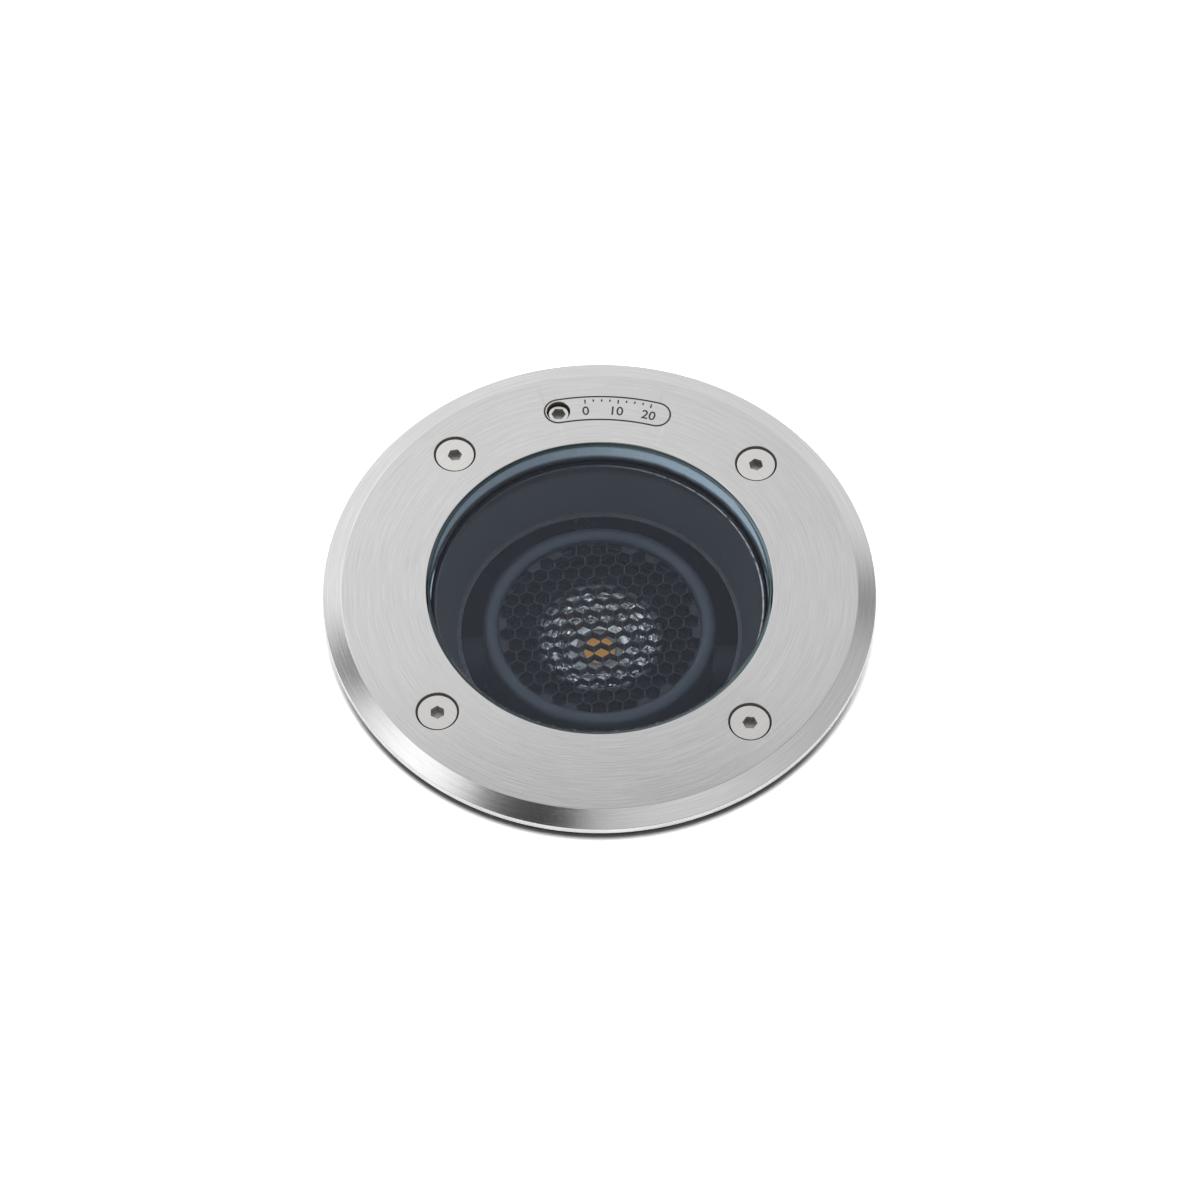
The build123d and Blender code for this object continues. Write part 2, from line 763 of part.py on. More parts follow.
with BuildPart() as spindle_seal:
    seal_centre = (adjuster_x, adjuster_y, housing_top - o_ring_section / 2 - o_ring_gap)
    with BuildSketch(Plane(seal_centre, x_dir=(1, 0, 0), z_dir=(0, -1, 0))) as seal_section:
        with Locations((o_ring_middle, 0)):
            Circle(o_ring_section / 2)
    revolve(seal_section.sketch, axis=Axis(seal_centre, (0, 0, 1)))
keep(spindle_seal, "spindle_seal")

collar_top = plate_bottom - spindle_end_gap
collar_bottom = collar_top - spindle_collar_height
shoulder = spindle_foot_top + spindle_end_gap
spindle_clip_top = foot_bottom - spindle_end_gap
spindle_clip_bottom = spindle_clip_top - clip_thickness
spindle_end = spindle_clip_top - spindle_tail
with BuildPart() as adjusting_spindle:
    turn(
        [
            (0, spindle_end),
            (journal_radius, spindle_end),
            (journal_radius, spindle_clip_bottom),
            (journal_radius - clip_groove, spindle_clip_bottom),
            (journal_radius - clip_groove, spindle_clip_top),
            (journal_radius, spindle_clip_top),
            (journal_radius, shoulder),
            (spindle_thread_radius, shoulder),
            (spindle_thread_radius, collar_bottom),
            (spindle_collar_radius, collar_bottom),
            (spindle_collar_radius, collar_top),
            (spindle_radius, collar_top),
            (spindle_radius, ring_top - spindle_sink),
            (0, ring_top - spindle_sink),
        ],
        adjuster,
    )
    with BuildSketch(Plane((adjuster_x, adjuster_y, ring_top - spindle_sink))) as spindle_key:
        RegularPolygon(socket_flats / 2, 6, major_radius=False)
    extrude(spindle_key.sketch, amount=-socket_depth, mode=Mode.SUBTRACT)
keep(adjusting_spindle, "adjusting_spindle")

with BuildPart() as spindle_clip:
    clip_bore = journal_radius - clip_groove
    tube(spindle_clip_radius, clip_bore, spindle_clip_bottom, spindle_clip_top, adjuster)
keep(spindle_clip, "spindle_clip")

with BuildPart() as nut_block:
    with BuildSketch(Plane((adjuster_x, adjuster_y, nut_rest - nut_height / 2))):
        RectangleRounded(nut_width, nut_length, nut_fillet)
        Circle(spindle_thread_radius + nut_gap, mode=Mode.SUBTRACT)
    extrude(amount=nut_height)
    nut_face = adjuster_x + nut_width / 2
    pin_plane = Plane((nut_face, adjuster_y, nut_rest), x_dir=(0, 1, 0), z_dir=(1, 0, 0))
    with BuildSketch(pin_plane):
        Circle(drive_pin_radius)
    extrude(amount=-drive_pin_depth, mode=Mode.SUBTRACT)
keep(nut_block, "nut_block")

with BuildPart() as drive_pin:
    with BuildSketch(pin_plane.offset(-drive_pin_depth)):
        Circle(drive_pin_radius)
    extrude(amount=drive_pin_depth + arm_gap + arm_sheet + slot_gap)
    with BuildSketch(pin_plane.offset(arm_gap + arm_sheet + slot_gap)):
        Circle(drive_head_radius)
    extrude(amount=drive_head_height)
keep(drive_pin, "drive_pin")

guide_plate_reach = guide_foot_reach + nut_length / 2
with BuildPart() as guide_bracket:
    with BuildSketch(Plane.XY.offset(foot_bottom)):
        with Locations(((guide_left + guide_right) / 2, guide_front - guide_sheet / 2)):
            Rectangle(guide_right - guide_left, guide_sheet)
    extrude(amount=plate_bottom - foot_bottom)
    with BuildSketch(Plane.XY.offset(foot_bottom)):
        with Locations(((guide_left + guide_right) / 2, guide_front)):
            Rectangle(guide_right - guide_left, nut_length, align=(Align.CENTER, Align.MIN))
    extrude(amount=bracket_sheet)
    with BuildSketch(Plane.XY.offset(plate_bottom)):
        with Locations((guide_right, guide_foot_inner)):
            Rectangle(guide_plate_reach, guide_foot_width, align=(Align.MAX, Align.MIN))
    extrude(amount=-guide_sheet)
    bore_up([adjuster], foot_bottom, spindle_foot_top, journal_radius + running_gap)
    bore_up(guide_screw_places, plate_bottom - guide_sheet, plate_bottom, m3_shank + clear_gap)
keep(guide_bracket, "guide_bracket")

with BuildPart() as guide_screws:
    for spot in guide_screw_places:
        cap_screw(spot, plate_bottom - guide_sheet, m3_shank, m3_head, m3_head_height, m3_length)
keep(guide_screws, "guide_screws")

# ==== base cover, its seal and screws ====

groove_inner = seal_groove_radius - seal_groove_width / 2
groove_outer = seal_groove_radius + seal_groove_width / 2
groove_floor = housing_bottom - seal_groove_depth
with BuildPart() as base_cover:
    rod(foot_flange_radius, cover_bottom, housing_bottom)
    rod(throat_inner - cover_spigot_gap, housing_bottom, spigot_top)
    chamfer(base_cover.edges().filter_by(GeomType.CIRCLE).group_by(Axis.Z)[0], edge_chamfer)
    with BuildSketch(Plane.XY.offset(housing_bottom)):
        Circle(groove_outer)
        Circle(groove_inner, mode=Mode.SUBTRACT)
    extrude(amount=-seal_groove_depth, mode=Mode.SUBTRACT)
    bore_up(base_screw_places, cover_bottom, housing_bottom, m4_shank + clear_gap)
    bore_up(base_screw_places, cover_bottom, cover_bottom + cover_bolt_recess, m4_head + cover_spigot_gap)
    driver_screw_places = [(side * (driver_length / 2 + driver_ear / 2), 0) for side in (-1, 1)]
    bore_up(driver_screw_places, cover_bottom + cover_floor, spigot_top, m3_shank + thread_gap)
    bore_up([(0, earth_place)], cover_bottom + cover_floor, spigot_top, m4_shank + thread_gap)
keep(base_cover, "base_cover")

with BuildPart() as base_seal:
    tube(groove_outer - seal_clearance, groove_inner + seal_clearance, groove_floor, housing_bottom)
keep(base_seal, "base_seal")

with BuildPart() as base_screws:
    base_screw_seat = cover_bottom + cover_bolt_recess
    for spot in base_screw_places:
        cap_screw(spot, base_screw_seat, m4_shank, m4_head, m4_head_height, cover_thickness)
keep(base_screws, "base_screws")

# ==== driver, terminals and earth ====

with BuildPart() as led_driver:
    with BuildSketch(Plane.XY.offset(spigot_top)):
        RectangleRounded(driver_length, driver_width, driver_corner)
    extrude(amount=driver_height)
    fillet(led_driver.edges().group_by(Axis.Z)[-1], driver_edge)
    with BuildSketch(Plane.XY.offset(spigot_top)):
        RectangleRounded(driver_length + 2 * driver_ear, driver_ear_width, driver_corner)
    extrude(amount=driver_ear_height)
    bore_up(driver_screw_places, spigot_top, spigot_top + driver_ear_height, m3_shank + clear_gap)
keep(led_driver, "led_driver")

with BuildPart() as driver_screws:
    for spot in driver_screw_places:
        pan_screw(spot, spigot_top + driver_ear_height, m3_shank, m3_head, m3_head_height, m3_length)
keep(driver_screws, "driver_screws")

with BuildPart() as earth_screw:
    pan_screw((0, earth_place), spigot_top, m4_shank, m4_head, earth_head_height, cover_thickness)
keep(earth_screw, "earth_screw")

terminal_screw_places = [
    (terminal_pitch * (i - (terminal_count - 1) / 2), terminal_place) for i in range(terminal_count)
]
with BuildPart() as terminal_block:
    with BuildSketch(Plane.XY.offset(spigot_top)):
        with Locations((0, terminal_place)):
            RectangleRounded(terminal_length, terminal_width, driver_edge)
    extrude(amount=terminal_height)
    terminal_top = spigot_top + terminal_height
    bore_up(terminal_screw_places, terminal_top - terminal_screw_depth, terminal_top, m3_head + thread_gap)
keep(terminal_block, "terminal_block")

with BuildPart() as terminal_screws:
    for spot in terminal_screw_places:
        screw_floor = terminal_top - terminal_screw_depth
        rod(m3_head, screw_floor, screw_floor + m3_head_height, spot)
        with BuildSketch(Plane((spot[0], spot[1], screw_floor + m3_head_height))) as screw_slot:
            Rectangle(2 * m3_head, m3_head_height * slot_share)
        extrude(screw_slot.sketch, amount=-m3_head_height * slot_depth_share, mode=Mode.SUBTRACT)
keep(terminal_screws, "terminal_screws")

# ==== cable entry and vent, both along the X axis ====

gland_face = throat_radius + pad_reach + gland_washer_thickness


def turn_along_x(points, side=1):
    # a closed outline of (distance along X, radius) points turned about the entry's axis
    with BuildSketch(Plane((0, 0, pad_height), x_dir=(side, 0, 0), z_dir=(0, -side, 0))) as section:
        with BuildLine():
            Polyline(*points, close=True)
        make_face()
    revolve(section.sketch, axis=Axis((0, 0, pad_height), (1, 0, 0)))


def hex_along_x(start, length, flats, side=1):
    with BuildSketch(Plane((side * start, 0, pad_height), x_dir=(0, 1, 0), z_dir=(side, 0, 0))) as hexagon:
        RegularPolygon(flats / 2, 6, major_radius=False)
    extrude(hexagon.sketch, amount=length)


def bore_along_x(start, length, radius, side=1):
    with BuildSketch(Plane((side * start, 0, pad_height), x_dir=(0, 1, 0), z_dir=(side, 0, 0))) as hole:
        Circle(radius)
    extrude(hole.sketch, amount=length, mode=Mode.SUBTRACT)


gland_hex_end = gland_face + gland_hex_length
gland_stem_end = gland_hex_end + gland_stem_length
gland_inner_end = gland_face - gland_thread_length
with BuildPart() as gland_body:
    turn_along_x(
        [
            (gland_inner_end, 0),
            (gland_inner_end, gland_thread_radius - thread_gap),
            (gland_face, gland_thread_radius - thread_gap),
            (gland_face, gland_stem_radius),
            (gland_stem_end, gland_stem_radius),
            (gland_stem_end, 0),
        ]
    )
    hex_along_x(gland_face, gland_hex_length, gland_flats)
    bore_along_x(gland_inner_end, gland_stem_end - gland_inner_end, gland_bore_radius)
keep(gland_body, "gland_body")

with BuildPart() as gland_washer:
    turn_along_x(
        [
            (gland_face - gland_washer_thickness, gland_thread_radius + thread_gap),
            (gland_face - gland_washer_thickness, gland_flats / 2),
            (gland_face, gland_flats / 2),
            (gland_face, gland_thread_radius + thread_gap),
        ]
    )
keep(gland_washer, "gland_washer")

nut_start = gland_hex_end + gland_nut_wall
nut_end = nut_start + gland_nut_length
nut_hex_end = nut_start + gland_nut_length / 2
with BuildPart() as gland_nut:
    turn_along_x(
        [
            (nut_start, gland_stem_radius + thread_gap),
            (nut_start, gland_flats / 2),
            (nut_hex_end, gland_flats / 2),
            (nut_end - gland_nut_taper, gland_flats / 2 - gland_nut_edge),
            (nut_end, gland_stem_radius),
            (nut_end, gland_nut_mouth),
            (gland_stem_end + gland_nut_taper, gland_bore_radius + gland_nut_edge),
            (gland_stem_end + gland_seal_end, gland_stem_radius + thread_gap),
        ]
    )
    hex_along_x(nut_start, gland_nut_length / 2, gland_flats)
    bore_along_x(nut_start, gland_nut_length / 2, gland_stem_radius + thread_gap)
keep(gland_nut, "gland_nut")

with BuildPart() as gland_seal:
    turn_along_x(
        [
            (gland_hex_end, gland_seal_radius),
            (gland_hex_end, gland_bore_radius - thread_gap),
            (gland_stem_end + gland_seal_end, gland_bore_radius - thread_gap),
            (nut_end - gland_seal_end, gland_nut_mouth - thread_gap),
            (nut_end - gland_seal_end, gland_seal_radius),
        ]
    )
keep(gland_seal, "gland_seal")

vent_face = throat_radius + pad_reach
vent_end = vent_face + vent_hex_length + vent_cap_length
with BuildPart() as vent_plug:
    turn_along_x(
        [
            (vent_face - vent_thread_length, 0),
            (vent_face - vent_thread_length, vent_thread_radius - thread_gap),
            (vent_face, vent_thread_radius - thread_gap),
            (vent_face, vent_cap_radius),
            (vent_end - vent_cap_edge, vent_cap_radius),
            (vent_end, vent_cap_radius - vent_cap_edge),
            (vent_end, 0),
        ],
        side=-1,
    )
    hex_along_x(vent_face, vent_hex_length, vent_flats, side=-1)
keep(vent_plug, "vent_plug")
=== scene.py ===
import json
import math
import bpy
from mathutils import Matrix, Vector


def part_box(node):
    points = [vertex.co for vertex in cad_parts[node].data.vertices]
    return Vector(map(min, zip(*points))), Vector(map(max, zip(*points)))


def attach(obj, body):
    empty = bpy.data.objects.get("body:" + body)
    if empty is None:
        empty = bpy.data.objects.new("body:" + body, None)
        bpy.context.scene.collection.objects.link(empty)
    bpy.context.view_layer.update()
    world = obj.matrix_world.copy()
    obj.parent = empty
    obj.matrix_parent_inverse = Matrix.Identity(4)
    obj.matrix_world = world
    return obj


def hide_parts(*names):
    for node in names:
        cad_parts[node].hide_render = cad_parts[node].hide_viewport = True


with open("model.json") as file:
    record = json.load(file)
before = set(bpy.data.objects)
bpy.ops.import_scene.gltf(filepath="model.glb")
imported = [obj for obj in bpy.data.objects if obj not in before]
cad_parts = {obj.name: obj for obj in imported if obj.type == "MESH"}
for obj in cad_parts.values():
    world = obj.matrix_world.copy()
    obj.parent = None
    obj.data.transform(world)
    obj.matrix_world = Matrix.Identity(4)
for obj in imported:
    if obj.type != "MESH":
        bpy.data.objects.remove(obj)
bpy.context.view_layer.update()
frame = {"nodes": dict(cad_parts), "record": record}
nodes = frame["nodes"]
mm = 0.001

# heights and radii that the dressed pieces share with the frame, in metres
ringLow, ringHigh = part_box("trim_ring")
glassLow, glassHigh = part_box("glass_lens")
sealLow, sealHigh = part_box("glass_seal")
cupLow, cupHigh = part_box("baffle_cup")
bezelLow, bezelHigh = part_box("lamp_bezel")
reflectorLow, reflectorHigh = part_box("reflector")
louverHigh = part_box("honeycomb_louver")[1]
phosphorLow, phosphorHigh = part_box("led_phosphor")
print("frame loaded:", len(nodes), "nodes")


class Signal:
    # one shader socket that can be used in sums and products
    def __init__(self, paint, socket):
        self.paint = paint
        self.socket = socket

    def maths(self, operation, other=None, turned=False):
        values = [self, other] if not turned else [other, self]
        sockets = {i: v for i, v in enumerate(values) if v is not None}
        return self.paint.add("ShaderNodeMath", {"operation": operation}, sockets)

    def __add__(self, other):
        return self.maths("ADD", other)

    def __radd__(self, other):
        return self.maths("ADD", other, True)

    def __sub__(self, other):
        return self.maths("SUBTRACT", other)

    def __rsub__(self, other):
        return self.maths("SUBTRACT", other, True)

    def __mul__(self, other):
        return self.maths("MULTIPLY", other)

    def __rmul__(self, other):
        return self.maths("MULTIPLY", other, True)

    def __truediv__(self, other):
        return self.maths("DIVIDE", other)

    def __gt__(self, other):
        return self.maths("GREATER_THAN", other)

    def __lt__(self, other):
        return self.maths("LESS_THAN", other)

    def power(self, other):
        return self.maths("POWER", other)

    def size(self):
        return self.maths("ABSOLUTE")

    def ramp(self, low, high, start=0.0, end=1.0):
        # a smooth step of this value between low and high
        sockets = {0: self, 1: low, 2: high, 3: start, 4: end}
        return self.paint.add("ShaderNodeMapRange", {"interpolation_type": "SMOOTHSTEP"}, sockets)


class Paint:
    # a material, or the world, that is built node by node
    def __init__(self, owner):
        self.owner = owner
        owner.use_nodes = True
        self.tree = owner.node_tree
        self.tree.nodes.clear()

    def raw(self, kind, settings=None, sockets=None):
        node = self.tree.nodes.new(kind)
        for key, value in (settings or {}).items():
            setattr(node, key, value)
        for key, value in (sockets or {}).items():
            target = node.inputs[key]
            if isinstance(value, Signal):
                self.tree.links.new(value.socket, target)
            elif isinstance(value, tuple) and len(value) == 3 and target.type == "RGBA":
                target.default_value = (*value, 1.0)
            else:
                target.default_value = value
        return node

    def add(self, kind, settings=None, sockets=None, output=0):
        return Signal(self, self.raw(kind, settings, sockets).outputs[output])

    def place(self):
        return self.add("ShaderNodeTexCoord", output="Object")

    def parts(self, vector):
        split = self.raw("ShaderNodeSeparateXYZ", {}, {0: vector})
        return [Signal(self, split.outputs[i]) for i in range(3)]

    def parted(self):
        # the place on the piece: x, y, z and the distance from its axis
        x, y, z = self.parts(self.place())
        return x, y, z, (x * x + y * y).power(0.5)

    def vector(self, x, y, z):
        return self.add("ShaderNodeCombineXYZ", {}, {0: x, 1: y, 2: z})

    def noise(self, vector, scale, detail=3.0, roughness=0.5):
        sockets = {"Vector": vector, "Scale": scale, "Detail": detail, "Roughness": roughness}
        return self.add("ShaderNodeTexNoise", {}, sockets)

    def mix(self, factor, first, second):
        sockets = {"Factor": factor, "A": first, "B": second}
        return self.add("ShaderNodeMix", {"data_type": "RGBA"}, sockets, output="Result")

    def varied(self, signal, tone, low, high):
        # a tone that wanders between two shares of itself
        return self.mix(signal.ramp(0.3, 0.7), scaled(tone, low), scaled(tone, high))

    def bump(self, height, distance):
        sockets = {"Strength": 1.0, "Distance": distance, "Height": height}
        return self.add("ShaderNodeBump", {}, sockets)

    def surface(self, shader):
        self.raw("ShaderNodeOutputMaterial", {}, {"Surface": shader})
        return self.owner

    def principled(self, **sockets):
        names = {
            "color": "Base Color", "metallic": "Metallic", "roughness": "Roughness", "normal": "Normal",
            "ior": "IOR", "transmission": "Transmission Weight", "specularTint": "Specular Tint",
            "emission": "Emission Color", "glow": "Emission Strength",
        }
        return self.add("ShaderNodeBsdfPrincipled", {}, {names[k]: v for k, v in sockets.items()})


def newPaint(name):
    return Paint(bpy.data.materials.new(name))


def scaled(tone, share):
    return tuple(min(part * share, 1.0) for part in tone)


def deselectAll():
    bpy.ops.object.select_all(action="DESELECT")


def useOnly(piece):
    deselectAll()
    piece.select_set(True)
    bpy.context.view_layer.objects.active = piece


def applyModifier(piece, kind, **settings):
    useOnly(piece)
    modifier = piece.modifiers.new(kind.lower(), kind)
    for key, value in settings.items():
        setattr(modifier, key, value)
    bpy.ops.object.modifier_apply(modifier=modifier.name)


def settle(piece):
    # moves the piece's place into its mesh, so that its object stands at the origin
    useOnly(piece)
    bpy.ops.object.transform_apply(location=True, rotation=True, scale=True)


def turned(name, outline, steps=256, closed=True, bevel=0.0, segments=2, centre=(0.0, 0.0)):
    # a circle extruded from point to point of an outline of (radius, height), as on a lathe
    deselectAll()
    firstRadius, firstHeight = outline[0]
    middle = (centre[0], centre[1], 0.0)
    bpy.ops.mesh.primitive_circle_add(
        vertices=steps, radius=firstRadius, fill_type="NOTHING", location=(centre[0], centre[1], firstHeight)
    )
    piece = bpy.context.object
    piece.name = name
    settle(piece)
    bpy.ops.object.mode_set(mode="EDIT")
    bpy.ops.mesh.select_all(action="SELECT")
    radius, height = firstRadius, firstHeight
    rest = list(outline[1:]) + ([outline[0]] if closed else [])
    for nextRadius, nextHeight in rest:
        bpy.ops.mesh.extrude_region_move()
        grow = nextRadius / radius
        bpy.ops.transform.resize(value=(grow, grow, 1.0), center_override=middle)
        bpy.ops.transform.translate(value=(0.0, 0.0, nextHeight - height))
        radius, height = nextRadius, nextHeight
    bpy.ops.mesh.select_all(action="SELECT")
    bpy.ops.mesh.remove_doubles(threshold=1e-6)
    if not closed:
        # both ends are closed by flat faces
        bpy.ops.mesh.select_all(action="DESELECT")
        bpy.ops.mesh.select_non_manifold()
        bpy.ops.mesh.edge_face_add()
    bpy.ops.mesh.select_all(action="SELECT")
    bpy.ops.mesh.normals_make_consistent(inside=False)
    bpy.ops.object.mode_set(mode="OBJECT")
    if bevel:
        applyModifier(
            piece, "BEVEL", width=bevel, segments=segments, limit_method="ANGLE", angle_limit=math.radians(15)
        )
    smooth(piece)
    return piece


def smooth(piece, angle=35.0):
    # edges sharper than the angle stay crisp, and flat faces keep flat
    useOnly(piece)
    bpy.ops.object.shade_smooth_by_angle(angle=math.radians(angle))
    applyModifier(piece, "WEIGHTED_NORMAL", keep_sharp=True, weight=100)


def level(piece):
    # faces that lie flat keep upright corner normals beside every cut
    mesh = piece.data
    normals = [tuple(corner.vector) for corner in mesh.corner_normals]
    for face in mesh.polygons:
        if face.normal.z > 0.9999:
            for i in face.loop_indices:
                normals[i] = (0.0, 0.0, 1.0)
    mesh.normals_split_custom_set(normals)


def finishPiece(piece, body, slotName, material, *replaced):
    # the material, the frame's nodes that it stands for, and the body that it moves with; slotName is not
    # used
    piece.data.materials.clear()
    piece.data.materials.append(material)
    if replaced:
        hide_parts(*replaced)
    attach(piece, body)
    return piece


def cut(piece, cutter):
    # carves one mesh out of another
    applyModifier(piece, "BOOLEAN", operation="DIFFERENCE", object=cutter, solver="EXACT")
    bpy.data.objects.remove(cutter)


# the camera, at the photograph's viewing angle

camera = {
    "elevation": 57.12,
    "azimuth": 2.19,
    "distance": 1.3614,
    "lens": 133.07,
    "sensor": 36.0,
    "targetBelowTop": 1.06 * mm,
    "shiftX": 0.00037,
    "shiftY": -0.01089,
}


def makeCamera(look):
    elevation, azimuth = math.radians(look["elevation"]), math.radians(look["azimuth"])
    away = Vector(
        (
            math.sin(azimuth) * math.cos(elevation),
            -math.cos(azimuth) * math.cos(elevation),
            math.sin(elevation),
        )
    )
    target = Vector((0.0, 0.0, ringHigh[2] - look["targetBelowTop"]))
    bpy.ops.object.camera_add(location=target + away * look["distance"])
    eye = bpy.context.object
    eye.rotation_mode = "QUATERNION"
    eye.rotation_quaternion = (-away).to_track_quat("-Z", "Y")
    eye.data.lens = look["lens"]
    eye.data.sensor_width = look["sensor"]
    eye.data.shift_x, eye.data.shift_y = look["shiftX"], look["shiftY"]
    bpy.context.scene.camera = eye


makeCamera(camera)
bpy.context.scene.view_settings.view_transform = "Standard"
print("camera placed")

# the studio: surroundings, one lamp and the ground

studio = {
    # brightness of the surroundings against how far back they lie: from the front to the back
    "front": 0.40,
    "middle": 0.60,
    "back": 0.84,
    "frontSpan": (-0.80, -0.10),
    "backSpan": (0.60, 1.00),
    "below": 0.45,
    "horizon": (-0.20, 0.02),
    "least": 0.02,
    "lobes": [
        # direction, sharpness, amount
        ((-0.62, 0.50, 0.60), 6.0, 0.42),
        ((-0.50, -0.05, 0.86), 50.0, 0.75),
        ((0.52, 0.71, 0.48), 30.0, 0.20),
        ((0.60, 0.54, 0.59), 130.0, -0.42),
        ((0.12, 0.45, 0.885), 25.0, -0.34),
        ((-0.61, 0.31, 0.735), 150.0, -1.10),
        ((0.24, -0.15, 0.96), 24.0, 0.22),
    ],
    # a dark strip near the zenith
    "strip": {
        "x": (-0.36, -0.045),
        "y": (-0.60, 0.06),
        "z": (0.5, 0.7),
        "soft": 0.012,
        "softBack": 0.048,
        "amount": -0.56,
    },
    "lampPlace": (-0.12, 0.62, 0.65),
    "lampSize": (0.90, 0.64),
    "lampPower": 0.55,
}


def makeWorld(look):
    world = bpy.data.worlds.new("studio")
    bpy.context.scene.world = world
    sky = Paint(world)
    ray = sky.add("ShaderNodeTexCoord", output="Generated")
    x, y, z = sky.parts(ray)
    light = y.ramp(*look["frontSpan"], look["front"], look["middle"])
    light = light + y.ramp(*look["backSpan"], 0.0, look["back"] - look["middle"])
    for direction, sharpness, amount in look["lobes"]:
        length = math.sqrt(sum(c * c for c in direction))
        unit = tuple(c / length for c in direction)
        facing = sky.add(
            "ShaderNodeVectorMath", {"operation": "DOT_PRODUCT"}, {0: ray, 1: unit}, output="Value"
        )
        light = light + facing.maths("MAXIMUM", 0.0).power(sharpness) * amount
    strip = look["strip"]
    (left, right), (front, back), soft = strip["x"], strip["y"], strip["soft"]
    dark = x.ramp(left - soft, left + soft) * x.ramp(right - soft, right + soft, 1.0, 0.0)
    dark = dark * y.ramp(front - soft, front + soft)
    dark = dark * y.ramp(back - strip["softBack"], back + strip["softBack"], 1.0, 0.0)
    light = light + dark * z.ramp(*strip["z"]) * strip["amount"]
    light = z.ramp(*look["horizon"], look["below"], 0.0) + z.ramp(*look["horizon"]) * light
    path = sky.raw("ShaderNodeLightPath")
    seen = Signal(sky, path.outputs["Is Camera Ray"])
    strength = seen + (1.0 - seen) * light.maths("MAXIMUM", look["least"])
    shader = sky.add("ShaderNodeBackground", {}, {"Color": (1.0, 1.0, 1.0), "Strength": strength})
    sky.raw("ShaderNodeOutputWorld", {}, {"Surface": shader})


def makeLamps(look):
    # one large soft box above and behind
    deselectAll()
    bpy.ops.object.light_add(type="AREA", location=look["lampPlace"])
    lamp = bpy.context.object
    lamp.data.shape = "RECTANGLE"
    lamp.data.energy = look["lampPower"]
    lamp.data.size, lamp.data.size_y = look["lampSize"]


makeWorld(studio)
makeLamps(studio)

ground = {
    "reach": 1.6,
    "hole": 79.5 * mm,
    "holeSteps": 128,
    "drop": 2.02 * mm,
    # how pale the sheet is for light, for the eye and as a mirror image
    "white": 0.88,
    "seen": 2.8,
    "mirrored": 2.2,
    # a painted contact shadow: the dark line along the foot of the gasket, which fades out towards the back
    "paintedShadowEdge": 84.7 * mm,
    "paintedShadowWidth": 2.3 * mm,
    "paintedShadowFade": (-0.80, 0.05),
    "paintedShadowDark": 0.92,
}


def makeGround(look):
    # a white sheet at ground level, with the hole that the housing hangs in
    deselectAll()
    bpy.ops.mesh.primitive_circle_add(
        vertices=look["holeSteps"], radius=look["hole"], location=(0, 0, -look["drop"])
    )
    sheet = bpy.context.object
    sheet.name = "groundSheet"
    settle(sheet)
    bpy.ops.object.mode_set(mode="EDIT")
    bpy.ops.mesh.select_all(action="SELECT")
    grow = look["reach"] / look["hole"]
    bpy.ops.mesh.extrude_region_move()
    bpy.ops.transform.resize(value=(grow, grow, 1.0), center_override=(0, 0, 0))
    bpy.ops.mesh.select_all(action="SELECT")
    bpy.ops.mesh.normals_make_consistent(inside=False)
    bpy.ops.object.mode_set(mode="OBJECT")
    if sheet.data.polygons[0].normal.z < 0:
        sheet.data.flip_normals()
    paint = newPaint("groundWhite")
    path = paint.raw("ShaderNodeLightPath")
    camera, glossy, through, shadow = [
        Signal(paint, path.outputs[name])
        for name in ("Is Camera Ray", "Is Glossy Ray", "Is Transmission Ray", "Is Shadow Ray")
    ]
    seen = camera.maths("MAXIMUM", through)
    backSide = paint.add("ShaderNodeNewGeometry", output="Backfacing")
    x, y, z, radius = paint.parted()
    edge, (front, back) = look["paintedShadowEdge"], look["paintedShadowFade"]
    # painted shadow: camera rays see the floor darkened near the ring's front edge
    paintedShadow = radius.ramp(edge, edge + look["paintedShadowWidth"], 1.0, 0.0)
    paintedShadow = paintedShadow * y.ramp(front * edge, back * edge, 1.0, 0.0) * look["paintedShadowDark"]
    tone = look["white"] + seen * (look["seen"] - look["white"])
    tone = (tone + glossy * (1.0 - seen) * (look["mirrored"] - look["white"])) * (1.0 - paintedShadow * seen)
    colour = paint.add("ShaderNodeCombineColor", {}, {0: tone, 1: tone, 2: tone})
    white = paint.add("ShaderNodeBsdfDiffuse", {}, {"Color": colour})
    clear = paint.add("ShaderNodeBsdfTransparent")
    hidden = shadow.maths("MAXIMUM", backSide)
    sheet.data.materials.append(
        paint.surface(paint.add("ShaderNodeMixShader", {}, {0: hidden, 1: white, 2: clear}))
    )


makeGround(ground)
print("studio ready")

# tones and measures that several materials share

tones = {
    "steel": (0.77, 0.77, 0.77),
    "screwSteel": (0.84, 0.83, 0.81),
    "engravingAndShade": (0.10, 0.085, 0.07),
    "glass": (0.93, 0.955, 0.985),
    "glassSheen": (0.46, 0.52, 0.66),
    "glassEdge": (0.66, 0.84, 1.0),
    "glassLip": (0.42, 0.58, 0.57),
    "glassShadow": (0.004, 0.005, 0.007),
    "cup": (0.125, 0.135, 0.156),
    "cupHighlight": (0.85, 0.85, 0.86),
    "lamp": (0.084, 0.102, 0.134),
    "lampInside": (0.006, 0.007, 0.009),
    "foil": (0.022, 0.026, 0.034),
    "foilTopHighlight": (0.040, 0.045, 0.054),
    "frame": (0.16, 0.17, 0.19),
    "lug": (0.100, 0.110, 0.140),
    "mirror": (0.90, 0.955, 1.0),
    "phosphor": (0.86, 0.42, 0.10),
    "powder": (0.060, 0.063, 0.068),
    "rubber": (0.014, 0.014, 0.015),
    "nickel": (0.70, 0.68, 0.63),
    "zinc": (0.085, 0.085, 0.088),
    "bronze": (0.66, 0.45, 0.20),
    "whitePlastic": (0.80, 0.80, 0.77),
    "blackPlastic": (0.022, 0.022, 0.025),
    "driver": (0.58, 0.59, 0.60),
    "padGrey": (0.30, 0.33, 0.37),
}

